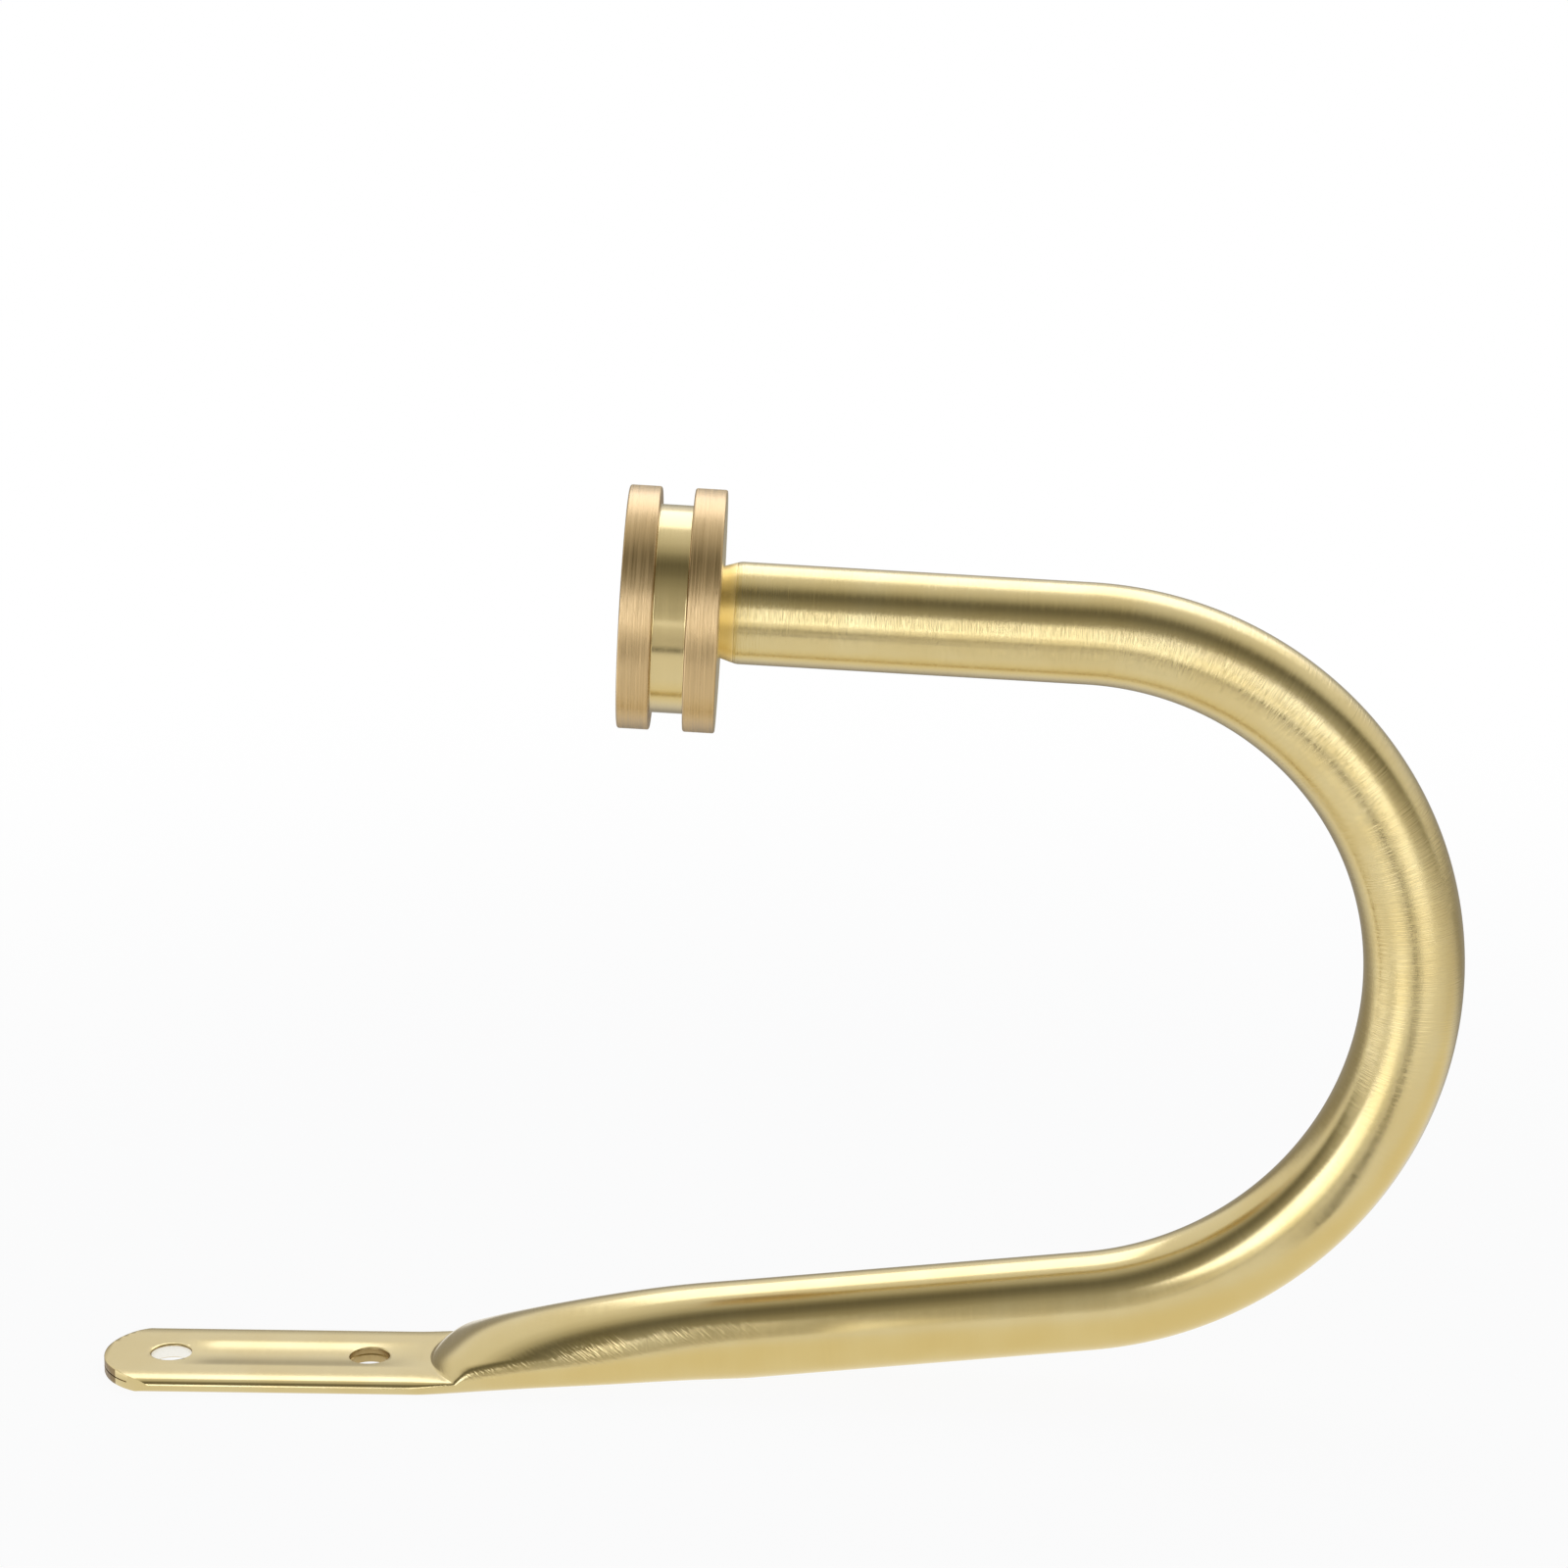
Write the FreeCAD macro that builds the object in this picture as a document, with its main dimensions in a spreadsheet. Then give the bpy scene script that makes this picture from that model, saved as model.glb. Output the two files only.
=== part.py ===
"""Curtain holdback: a hook of bent brass tube with a turned finial.

One end of the tube is flattened into a fixing tab with two screw holes. A threaded insert
closes the other end, and a stud in it carries the grooved finial.

The origin lies midway between the two screw holes, on the face that meets the wall. +Z leaves
that face, +X runs along the tab towards the bend, and the hook is symmetric about Y = 0.
"""
import FreeCAD, Part
import math
import os
import Sketcher
from FreeCAD import Placement, Rotation, Vector

# Driving dimensions, in millimetres and degrees
SIZES = [
    ("tube_od", 16.0, "outside diameter of the tube"),
    ("tube_wall", 1.2, "wall of the tube"),
    ("bend_radius", 55.9, "radius of the bend at the tube's centre line"),
    ("tab_arm_slope", 5.82, "rise of the lower arm towards the bend, degrees"),
    ("tab_arm_length", 56.3, "round straight stretch of the lower arm"),
    ("finial_arm_slope", 2.76, "rise of the upper arm away from the bend, degrees"),
    ("finial_arm_length", 55.3, "straight stretch of the upper arm"),
    ("tab_width", 22.8, "width over the folded edges of the tab"),
    ("tab_thickness", 2.6, "thickness over the folded edges of the tab"),
    ("tab_end", 10.9, "first screw hole to the tip of the tab"),
    ("tip_flare", 0.4, "how far the round of the tip runs past the edges of the tab"),
    ("hole_spacing", 32.5, "distance between the screw holes"),
    ("hole_dia", 6.6, "diameter of the screw holes"),
    ("hole_lip", 0.4, "broken lip of the screw holes"),
    ("channel_start", 4.8, "first screw hole to the pressed channel"),
    ("channel_length", 36.0, "length of the pressed channel"),
    ("channel_width", 9.6, "width of the pressed channel"),
    ("channel_depth", 0.3, "depth of the pressed channel"),
    ("seam_gap", 0.2, "open seam between the two plies at the tip"),
    ("seam_depth", 0.6, "depth of the open seam"),
    ("seam_spread", 55.0, "half angle of the open seam, degrees"),
    ("tab_reach", 22.0, "hole centre to where the tube starts to open"),
    ("crease_reach", 26.4, "hole centre to the nose of the crease"),
    ("crease_sag", 6.5, "length of the curved crease along the tab"),
    ("crease_lean", 43.0, "lean of the wall above the crease from upright, degrees"),
    ("nose_station", 9.4, "start of opening to the nose section"),
    ("nose_height", 5.98, "height of the nose section"),
    ("nose_width", 22.37, "width of the nose section"),
    ("nose_side", 2.29, "side radius of the nose section"),
    ("swell_station", 20.0, "start of opening to the swell section"),
    ("swell_height", 9.88, "height of the swell section"),
    ("swell_width", 20.33, "width of the swell section"),
    ("swell_side", 3.53, "side radius of the swell section"),
    ("shoulder_station", 34.0, "start of opening to the shoulder section"),
    ("shoulder_height", 12.93, "height of the shoulder section"),
    ("shoulder_width", 18.12, "width of the shoulder section"),
    ("shoulder_side", 5.0, "side radius of the shoulder section"),
    ("waist_station", 47.5, "start of opening to the waist section"),
    ("waist_height", 15.05, "height of the waist section"),
    ("waist_width", 16.7, "width of the waist section"),
    ("waist_side", 7.0, "side radius of the waist section"),
    ("round_station", 56.57, "start of opening to the fully round tube"),
    ("void_offset", 4.0, "nose of the crease to the start of the hollow"),
    ("void_gap", 0.3, "height of the hollow where it starts"),
    ("collar_length", 2.2, "cone of the end insert between tube and finial"),
    ("collar_small_dia", 14.3, "small diameter of that cone"),
    ("spigot_length", 14.0, "length of the insert inside the tube"),
    ("spigot_clearance", 0.05, "radial clearance of the insert in the tube"),
    ("thread_dia", 6.0, "diameter of the tapped holes"),
    ("thread_clearance", 0.05, "radial clearance of the stud in its holes"),
    ("stud_in_insert", 10.0, "length of the stud inside the insert"),
    ("stud_in_finial", 8.0, "length of the stud inside the finial"),
    ("stud_chamfer", 0.6, "chamfer on the ends of the stud"),
    ("finial_dia", 38.0, "diameter of the finial's discs"),
    ("disc_thickness", 5.0, "thickness of each disc"),
    ("groove_width", 5.2, "width of the groove between the discs"),
    ("hub_dia", 32.5, "diameter at the bottom of the groove"),
    ("finial_edge", 0.35, "broken edge of the discs"),
    ("tapped_margin", 1.0, "depth of the finial's hole beyond the stud"),
]

CUT_MARGIN = 2.0          # how far cutting tools run past the solid
PUNCH_HEIGHT = 6.0        # height of the tool that presses the tab flat
VOID_SIDE_FRACTION = 0.45  # side radius of the hollow's start, as a share of its height
ROUND_BASE_HALF = 8.0     # half angle of the round section's share of the flat base, degrees
ROUND_CROWN_HALF = 75.0   # half angle of its share of the crowned top, degrees
VOLUME_TOLERANCE = 1.0    # smallest change in mm3 that counts as a cut
LENGTH_TOLERANCE = 1e-6   # difference in mm at which two lengths count as equal

doc = FreeCAD.newDocument("curtain_holdback")


def make_sheet():
    """Write the driving dimensions into an aliased spreadsheet."""
    sheet = doc.addObject("Spreadsheet::Sheet", "Sizes")
    for row, (alias, value, note) in enumerate(SIZES, start=1):
        sheet.set(f"A{row}", note)
        sheet.set(f"B{row}", str(value))
        sheet.setAlias(f"B{row}", alias)
    doc.recompute()
    return sheet


sheet = make_sheet()


def dim(formula):
    """Turn a formula in size names into an expression that reads the sheet."""
    for alias, _, _ in sorted(SIZES, key=lambda entry: -len(entry[0])):
        formula = formula.replace(f"<{alias}>", f"Sizes.{alias}")
    return formula


def value_of(formula):
    """Evaluate a formula to a plain number, for a sketch's starting shape."""
    result = sheet.evalExpression(dim(formula))
    return float(getattr(result, "Value", result))


def origin_plane(body, role):
    """Find one of the body's own origin planes."""
    return next(feature for feature in body.Origin.OriginFeatures if feature.Role == role)


def new_body(label):
    """Start a sub-part of its own."""
    body = doc.addObject("PartDesign::Body", label)
    body.Label = label
    return body


def new_sketch(body, name, role, offset=None, tilt=None):
    """Attach a sketch to an origin plane, moved along its normal and tilted about its X axis."""
    sketch = body.newObject("Sketcher::SketchObject", name)
    sketch.AttachmentSupport = [(origin_plane(body, role), "")]
    sketch.MapMode = "FlatFace"
    if tilt is not None:
        sketch.AttachmentOffset = Placement(Vector(), Rotation(Vector(-1, 0, 0), value_of(tilt)))
        sketch.setExpression("AttachmentOffset.Rotation.Angle", dim(tilt))
    if offset is not None:
        sketch.setExpression("AttachmentOffset.Base.z", dim(offset))
    return sketch


def constrain(sketch, kind, *references, formula=None):
    """Add a constraint, bound to a formula where it is a dimension."""
    if formula is None:
        return sketch.addConstraint(Sketcher.Constraint(kind, *references))
    number = value_of(formula)
    if kind == "Angle":
        number = math.radians(number)
    index = sketch.addConstraint(Sketcher.Constraint(kind, *references, number))
    unit = " * 1 deg" if kind == "Angle" else ""
    sketch.setExpression(f"Constraints[{index}]", f"({dim(formula)}){unit}")
    return index


def place_point(sketch, geometry, position, x_formula, y_formula):
    """Dimension a point from the sketch's origin, or put it on an axis."""
    if x_formula == "0" and y_formula == "0":
        constrain(sketch, "Coincident", geometry, position, -1, 1)
        return
    if x_formula == "0":
        constrain(sketch, "PointOnObject", geometry, position, -2)
    else:
        constrain(sketch, "DistanceX", -1, 1, geometry, position, formula=x_formula)
    if y_formula == "0":
        constrain(sketch, "PointOnObject", geometry, position, -1)
    else:
        constrain(sketch, "DistanceY", -1, 1, geometry, position, formula=y_formula)


def polygon_sketch(body, name, role, corners, offset=None):
    """Draw a closed polygon whose corners are pairs of formulas."""
    sketch = new_sketch(body, name, role, offset)
    points = [Vector(value_of(x), value_of(y), 0) for x, y in corners]
    count = len(points)
    for index in range(count):
        sketch.addGeometry(Part.LineSegment(points[index], points[(index + 1) % count]))
    for index in range(count):
        constrain(sketch, "Coincident", index, 2, (index + 1) % count, 1)
    for index, (x_formula, y_formula) in enumerate(corners):
        place_point(sketch, index, 1, x_formula, y_formula)
    return sketch


def circle_sketch(body, name, role, circles, offset=None, tilt=None):
    """Draw circles given as formulas (x, y, radius)."""
    sketch = new_sketch(body, name, role, offset, tilt)
    for x_formula, y_formula, radius in circles:
        centre = Vector(value_of(x_formula), value_of(y_formula), 0)
        index = sketch.addGeometry(Part.Circle(centre, Vector(0, 0, 1), value_of(radius)))
        place_point(sketch, index, 3, x_formula, y_formula)
        constrain(sketch, "Radius", index, formula=radius)
    return sketch


def arc_between(centre, radius, start_angle, end_angle):
    """Make an arc of a circle between two angles in radians."""
    return Part.ArcOfCircle(Part.Circle(centre, Vector(0, 0, 1), radius), start_angle, end_angle)


def oval_sketch(body, name, offset, width, height, side, lift="0", tilt=None):
    """Draw a flattened tube's section: flat base, two round sides and a crowned top.

    The sides touch the base and the top smoothly, so the radius of the top follows from the
    height, the side radius and the flat half width.
    """
    sketch = new_sketch(body, name, "YZ_Plane", offset, tilt)
    flat = f"(({width}) / 2 - ({side}))"
    crown = f"(({height}) / 2 + {flat}^2 / (2 * (({height}) - 2 * ({side}))))"
    flat_half = value_of(flat)
    side_radius = value_of(side)
    crown_radius = value_of(crown)
    base = value_of(lift)
    lean = math.asin(flat_half / (crown_radius - side_radius))
    top_centre = Vector(0, base + value_of(height) - crown_radius, 0)
    right_centre = Vector(flat_half, base + side_radius, 0)
    left_centre = Vector(-flat_half, base + side_radius, 0)
    quarter = math.pi / 2
    sketch.addGeometry(Part.LineSegment(Vector(-flat_half, base, 0), Vector(flat_half, base, 0)))
    sketch.addGeometry(arc_between(right_centre, side_radius, -quarter, quarter - lean))
    sketch.addGeometry(arc_between(top_centre, crown_radius, quarter - lean, quarter + lean))
    sketch.addGeometry(arc_between(left_centre, side_radius, quarter + lean, 3 * quarter))
    for index in range(4):
        constrain(sketch, "Tangent", index, 2, (index + 1) % 4, 1)
    constrain(sketch, "Symmetric", 0, 1, 0, 2, -2)
    if lift == "0":
        constrain(sketch, "PointOnObject", 0, 1, -1)
    else:
        constrain(sketch, "DistanceY", -1, 1, 0, 1, formula=lift)
    constrain(sketch, "Equal", 1, 3)
    constrain(sketch, "DistanceX", 0, 1, 0, 2, formula=f"2 * {flat}")
    constrain(sketch, "Radius", 1, formula=side)
    constrain(sketch, "Radius", 2, formula=crown)
    return sketch


def split_circle_sketch(body, name, offset, radius, tilt):
    """Draw the round section that stands on the base line, split to match the flattened ones."""
    sketch = new_sketch(body, name, "YZ_Plane", offset, tilt)
    size = value_of(radius)
    centre = Vector(0, value_of(TUBE_RADIUS), 0)
    base = math.radians(ROUND_BASE_HALF)
    crown = math.radians(ROUND_CROWN_HALF)
    down = -math.pi / 2
    up = math.pi / 2
    turns = [down - base, down + base, up - crown, up + crown, down - base + 2 * math.pi]
    for start, end in zip(turns, turns[1:]):
        sketch.addGeometry(arc_between(centre, size, start, end))
    for index in range(4):
        constrain(sketch, "Coincident", index, 2, (index + 1) % 4, 1)
    constrain(sketch, "Coincident", 1, 3, 0, 3)
    constrain(sketch, "Coincident", 2, 3, 0, 3)
    constrain(sketch, "PointOnObject", 3, 3, -2)
    place_point(sketch, 0, 3, "0", TUBE_RADIUS)
    constrain(sketch, "Radius", 0, formula=radius)
    for index, half_angle in ((0, ROUND_BASE_HALF), (2, ROUND_CROWN_HALF)):
        left, right = (1, 2) if index == 0 else (2, 1)
        constrain(sketch, "Horizontal", index, left, index, right)
        constrain(sketch, "DistanceX", index, left, index, right,
                  formula=f"2 * ({radius}) * sin({half_angle})")
    return sketch


def stadium_sketch(body, name, offset, width, height):
    """Draw the tab's section: two plies with full round folds along both edges."""
    sketch = new_sketch(body, name, "YZ_Plane", offset)
    fold = f"({height}) / 2"
    flat = f"(({width}) - ({height})) / 2"
    flat_half = value_of(flat)
    radius = value_of(fold)
    quarter = math.pi / 2
    sketch.addGeometry(Part.LineSegment(Vector(-flat_half, 0, 0), Vector(flat_half, 0, 0)))
    sketch.addGeometry(arc_between(Vector(flat_half, radius, 0), radius, -quarter, quarter))
    sketch.addGeometry(Part.LineSegment(Vector(flat_half, 2 * radius, 0),
                                        Vector(-flat_half, 2 * radius, 0)))
    sketch.addGeometry(arc_between(Vector(-flat_half, radius, 0), radius, quarter, 3 * quarter))
    for index in range(4):
        constrain(sketch, "Tangent", index, 2, (index + 1) % 4, 1)
    constrain(sketch, "Symmetric", 0, 1, 0, 2, -2)
    constrain(sketch, "PointOnObject", 0, 1, -1)
    constrain(sketch, "DistanceX", 0, 1, 0, 2, formula=f"2 * {flat}")
    constrain(sketch, "Radius", 1, formula=fold)
    return sketch


def chain_sketch(body, name, role, arc, corners, offset=None):
    """Draw an outline closed by one arc, from the last corner back to the first.

    The arc is given as formulas (centre x, centre y, radius) and whether it runs
    counter-clockwise from the last corner to the first.
    """
    centre_x, centre_y, radius, forward = arc
    sketch = new_sketch(body, name, role, offset)
    points = [Vector(value_of(x), value_of(y), 0) for x, y in corners]
    for start, end in zip(points, points[1:]):
        sketch.addGeometry(Part.LineSegment(start, end))
    lines = len(points) - 1
    centre = Vector(value_of(centre_x), value_of(centre_y), 0)
    ends = (points[-1], points[0]) if forward else (points[0], points[-1])
    angles = [math.atan2(end.y - centre.y, end.x - centre.x) for end in ends]
    if angles[1] < angles[0]:
        angles[1] += 2 * math.pi
    sketch.addGeometry(arc_between(centre, value_of(radius), *angles))
    for index in range(lines - 1):
        constrain(sketch, "Coincident", index, 2, index + 1, 1)
    first, last = (2, 1) if forward else (1, 2)
    constrain(sketch, "Coincident", lines - 1, 2, lines, last)
    constrain(sketch, "Coincident", lines, first, 0, 1)
    place_point(sketch, lines, 3, centre_x, centre_y)
    constrain(sketch, "Radius", lines, formula=radius)
    for index, (x_formula, y_formula) in enumerate(corners):
        if index in (0, lines):
            position = 1 if index == 0 else 2
            line = 0 if index == 0 else lines - 1
            constrain(sketch, "DistanceY", -1, 1, line, position, formula=y_formula)
        else:
            place_point(sketch, index, 1, x_formula, y_formula)
    return sketch


def require_cut(body, name, before):
    """Stop if a cut left the body's volume as it was."""
    if before - body.Shape.Volume < VOLUME_TOLERANCE:
        raise RuntimeError(f"{name} removes nothing")


def cut(body, name, profile, length):
    """Pocket a sketch into the body along its normal."""
    doc.recompute()
    before = body.Shape.Volume
    pocket = body.newObject("PartDesign::Pocket", name)
    pocket.Profile = profile
    pocket.Type = "Length"
    pocket.Reversed = True
    pocket.setExpression("Length", dim(length))
    doc.recompute()
    require_cut(body, name, before)
    return pocket


def turned_piece(label, corners):
    """Turn a piece about the upper arm's axis.

    Corners are formulas (distance out of the tube's mouth, radius).
    """
    body = new_body(label)
    sketch = polygon_sketch(body, f"{label}_profile", "XY_Plane", corners)
    turn = body.newObject("PartDesign::Revolution", f"{label}_turned")
    turn.Profile = sketch
    turn.ReferenceAxis = (sketch, ["H_Axis"])
    turn.Angle = 360
    body.Placement = Placement(Vector(), Rotation(Vector(0, -1, 0), value_of(MOUTH_TURN)))
    body.setExpression("Placement.Base.x", dim(MOUTH_X))
    body.setExpression("Placement.Base.z", dim(MOUTH_Z))
    body.setExpression("Placement.Rotation.Angle", dim(MOUTH_TURN))
    return body


# Places along the hook, worked out from the driving dimensions
TUBE_RADIUS = "<tube_od> / 2"
BORE_RADIUS = "(<tube_od> / 2 - <tube_wall>)"
ROUND_X = "(<tab_reach> + <round_station>)"
ARM_START_X = f"({ROUND_X} - <tube_od> / 2 * sin(<tab_arm_slope>))"
ARM_START_Z = "(<tube_od> / 2 * cos(<tab_arm_slope>))"
BEND_X = (f"({ARM_START_X} + <tab_arm_length> * cos(<tab_arm_slope>)"
          " - <bend_radius> * sin(<tab_arm_slope>))")
BEND_Z = (f"({ARM_START_Z} + <tab_arm_length> * sin(<tab_arm_slope>)"
          " + <bend_radius> * cos(<tab_arm_slope>))")
MOUTH_X = (f"({BEND_X} + <bend_radius> * sin(<finial_arm_slope>)"
           " - <finial_arm_length> * cos(<finial_arm_slope>))")
MOUTH_Z = (f"({BEND_Z} + <bend_radius> * cos(<finial_arm_slope>)"
           " + <finial_arm_length> * sin(<finial_arm_slope>))")
MOUTH_TURN = "180 - <finial_arm_slope>"
TIP_X = "(-<hole_spacing> / 2 - <tab_end>)"
TIP_RADIUS = "(<tab_width> / 2 + <tip_flare>)"
TIP_CENTRE_X = f"({TIP_X} + {TIP_RADIUS})"


def path_sketch(body):
    """Draw the tube's centre line: lower arm, bend and upper arm."""
    sketch = new_sketch(body, "centre_line", "XZ_Plane")
    start = Vector(value_of(ARM_START_X), value_of(ARM_START_Z), 0)
    centre = Vector(value_of(BEND_X), value_of(BEND_Z), 0)
    mouth = Vector(value_of(MOUTH_X), value_of(MOUTH_Z), 0)
    radius = value_of("<bend_radius>")
    low = math.radians(value_of("<tab_arm_slope> - 90"))
    high = math.radians(value_of("90 - <finial_arm_slope>"))
    bend = arc_between(centre, radius, low, high)
    sketch.addGeometry(Part.LineSegment(start, bend.StartPoint))
    sketch.addGeometry(bend)
    sketch.addGeometry(Part.LineSegment(bend.EndPoint, mouth))
    constrain(sketch, "Tangent", 0, 2, 1, 1)
    constrain(sketch, "Tangent", 1, 2, 2, 1)
    place_point(sketch, 0, 1, ARM_START_X, ARM_START_Z)
    constrain(sketch, "Angle", 0, formula="<tab_arm_slope>")
    constrain(sketch, "Distance", 0, formula="<tab_arm_length>")
    constrain(sketch, "Radius", 1, formula="<bend_radius>")
    constrain(sketch, "Angle", 2, formula=MOUTH_TURN)
    constrain(sketch, "Distance", 2, formula="<finial_arm_length>")
    return sketch


def station_tilt(station):
    """Sections lean gradually from upright at the tab to square with the lower arm."""
    return f"<tab_arm_slope> * <{station}> / <round_station>"


def run_pipe(body, kind, name, profile, path):
    """Sweep a section along the tube's centre line."""
    pipe = body.newObject(f"PartDesign::{kind}", name)
    pipe.Profile = profile
    pipe.Spine = (path, [f"Edge{index}" for index in (1, 2, 3)])
    doc.recompute()
    return pipe


def run_loft(body, kind, name, sections, ruled=False):
    """Loft through the sections of the flattened end, smoothly unless it is ruled."""
    loft = body.newObject(f"PartDesign::{kind}", name)
    loft.Profile = sections[0]
    loft.Sections = sections[1:]
    loft.Ruled = ruled
    doc.recompute()
    return loft


def flattened_end(body):
    """Open the tube from the flat tab to its round section."""
    sections = [stadium_sketch(body, "tab_section", "<tab_reach>", "<tab_width>", "<tab_thickness>")]
    for name in ("nose", "swell", "shoulder", "waist"):
        sections.append(oval_sketch(body, f"{name}_section", f"<tab_reach> + <{name}_station>",
                                    f"<{name}_width>", f"<{name}_height>", f"<{name}_side>",
                                    tilt=station_tilt(f"{name}_station")))
    sections.append(split_circle_sketch(body, "round_section", ROUND_X, TUBE_RADIUS, "<tab_arm_slope>"))
    run_loft(body, "AdditiveLoft", "opening_end", sections)
    return sections[0]


def pad_tab(body, section):
    """Run the flat section back to the tip and round the tip in plan."""
    tab = body.newObject("PartDesign::Pad", "tab")
    tab.Profile = section
    tab.Reversed = True
    tab.setExpression("Length", dim(f"<tab_reach> - {TIP_X}"))
    side = f"(<tab_width> / 2 + {CUT_MARGIN})"
    edge = "(<tab_width> / 2 + <tip_flare> / 2)"
    beyond = f"({TIP_X} - {CUT_MARGIN})"
    back_x = f"({TIP_CENTRE_X} - sqrt({TIP_RADIUS}^2 - {edge}^2))"
    corners = [(back_x, edge), (back_x, side), (beyond, side), (beyond, f"-{side}"),
               (back_x, f"-{side}"), (back_x, f"-{edge}")]
    outline = chain_sketch(body, "tip_outline", "XY_Plane", (TIP_CENTRE_X, "0", TIP_RADIUS, False),
                           corners)
    cut(body, "round_tip", outline, f"<tab_thickness> + {CUT_MARGIN}")


def press_crease(body):
    """Press the top of the tab flat, up to the curved crease in front of the tube.

    The tool is a half ring about an upright axis, whose leaning bore leaves a rounded nose.
    """
    half = "(<tab_width> / 2)"
    radius = f"(({half}^2 + <crease_sag>^2) / (2 * <crease_sag>))"
    lean = f"({PUNCH_HEIGHT} * tan(<crease_lean>))"
    top = f"(<tab_thickness> + {PUNCH_HEIGHT})"
    far = f"({radius} + <crease_reach> - {TIP_X} + {CUT_MARGIN})"
    corners = [(f"-{radius}", "<tab_thickness>"), (f"{lean} - {radius}", top),
               (f"-{far}", top), (f"-{far}", "<tab_thickness>")]
    outline = polygon_sketch(body, "crease_outline", "XZ_Plane", corners)
    outline.setExpression("AttachmentOffset.Base.x", dim(f"<crease_reach> + {radius}"))
    doc.recompute()
    before = body.Shape.Volume
    crease = body.newObject("PartDesign::Groove", "pressed_crease")
    crease.Profile = outline
    crease.ReferenceAxis = (outline, ["V_Axis"])
    crease.Angle = 180
    crease.Midplane = True
    doc.recompute()
    require_cut(body, "pressed_crease", before)


def press_channel(body):
    """Press the shallow round-bottomed channel along the middle of the tab."""
    half = "(<channel_width> / 2)"
    radius = f"(({half}^2 + <channel_depth>^2) / (2 * <channel_depth>))"
    centre = f"(<tab_thickness> - <channel_depth> + {radius})"
    outline = chain_sketch(body, "channel_outline", "YZ_Plane", ("0", centre, radius, True),
                           [(half, "<tab_thickness>"), (f"-{half}", "<tab_thickness>")],
                           offset="<channel_start> - <hole_spacing> / 2")
    cut(body, "pressed_channel", outline, "<channel_length>")


def hollow_out(body, path):
    """Bore the tube and let the hollow close up towards the crease."""
    bore = circle_sketch(body, "bore_section", "YZ_Plane", [("0", TUBE_RADIUS, BORE_RADIUS)],
                         offset=ROUND_X, tilt="<tab_arm_slope>")
    run_pipe(body, "SubtractivePipe", "bore", bore, path)
    start_station = "(<crease_reach> + <void_offset> - <tab_reach>)"
    sections = [oval_sketch(body, "void_start_section", f"<tab_reach> + {start_station}",
                            "<nose_width> - 2 * <nose_side>", "<void_gap>",
                            f"<void_gap> * {VOID_SIDE_FRACTION}", lift="<tube_wall>",
                            tilt=f"<tab_arm_slope> * {start_station} / <round_station>")]
    for name in ("swell", "shoulder", "waist"):
        sections.append(oval_sketch(body, f"{name}_void_section", f"<tab_reach> + <{name}_station>",
                                    f"<{name}_width> - 2 * <tube_wall>",
                                    f"<{name}_height> - 2 * <tube_wall>",
                                    f"<{name}_side> - <tube_wall>", lift="<tube_wall>",
                                    tilt=station_tilt(f"{name}_station")))
    sections.append(split_circle_sketch(body, "round_void_section", ROUND_X, BORE_RADIUS,
                                        "<tab_arm_slope>"))
    run_loft(body, "SubtractiveLoft", "closing_hollow", sections, ruled=True)


def drill_holes(body):
    """Pierce the two screw holes and break their lips."""
    circles = [(f"{sign}<hole_spacing> / 2", "0", "<hole_dia> / 2") for sign in ("-", "")]
    outline = circle_sketch(body, "hole_outlines", "XY_Plane", circles)
    holes = cut(body, "screw_holes", outline, f"<tab_thickness> + {CUT_MARGIN}")
    radius = value_of("<hole_dia> / 2")
    middle = value_of("<tab_thickness> / 2")
    rims = []
    for index, edge in enumerate(holes.Shape.Edges, start=1):
        height = edge.CenterOfMass.z
        is_rim = isinstance(edge.Curve, Part.Circle) and abs(edge.Curve.Radius - radius) < LENGTH_TOLERANCE
        if is_rim and (abs(height) < LENGTH_TOLERANCE or height > middle):
            rims.append(f"Edge{index}")
    lips = body.newObject("PartDesign::Chamfer", "hole_lips")
    lips.Base = (holes, rims)
    lips.setExpression("Size", dim("<hole_lip>"))
    doc.recompute()


def open_seam(body):
    """Leave the seam between the plies open round the tip."""
    inner = f"({TIP_RADIUS} - <seam_depth>)"
    outer = f"({TIP_RADIUS} + {CUT_MARGIN})"
    sketch = new_sketch(body, "seam_outline", "XY_Plane", "(<tab_thickness> - <seam_gap>) / 2")
    centre = Vector(value_of(TIP_CENTRE_X), 0, 0)
    spread = math.radians(value_of("<seam_spread>"))
    angles = (math.pi - spread, math.pi + spread)
    inside = arc_between(centre, value_of(inner), *angles)
    outside = arc_between(centre, value_of(outer), *angles)
    sketch.addGeometry(inside)
    sketch.addGeometry(Part.LineSegment(inside.EndPoint, outside.EndPoint))
    sketch.addGeometry(outside)
    sketch.addGeometry(Part.LineSegment(outside.StartPoint, inside.StartPoint))
    constrain(sketch, "Coincident", 0, 2, 1, 1)
    constrain(sketch, "Coincident", 1, 2, 2, 2)
    constrain(sketch, "Coincident", 2, 1, 3, 1)
    constrain(sketch, "Coincident", 3, 2, 0, 1)
    constrain(sketch, "Coincident", 0, 3, 2, 3)
    place_point(sketch, 0, 3, TIP_CENTRE_X, "0")
    constrain(sketch, "Radius", 0, formula=inner)
    constrain(sketch, "Radius", 2, formula=outer)
    constrain(sketch, "Angle", 1, formula="180 + <seam_spread>")
    constrain(sketch, "Angle", 3, formula="-<seam_spread>")
    cut(body, "tip_seam", sketch, "<seam_gap>")


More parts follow.
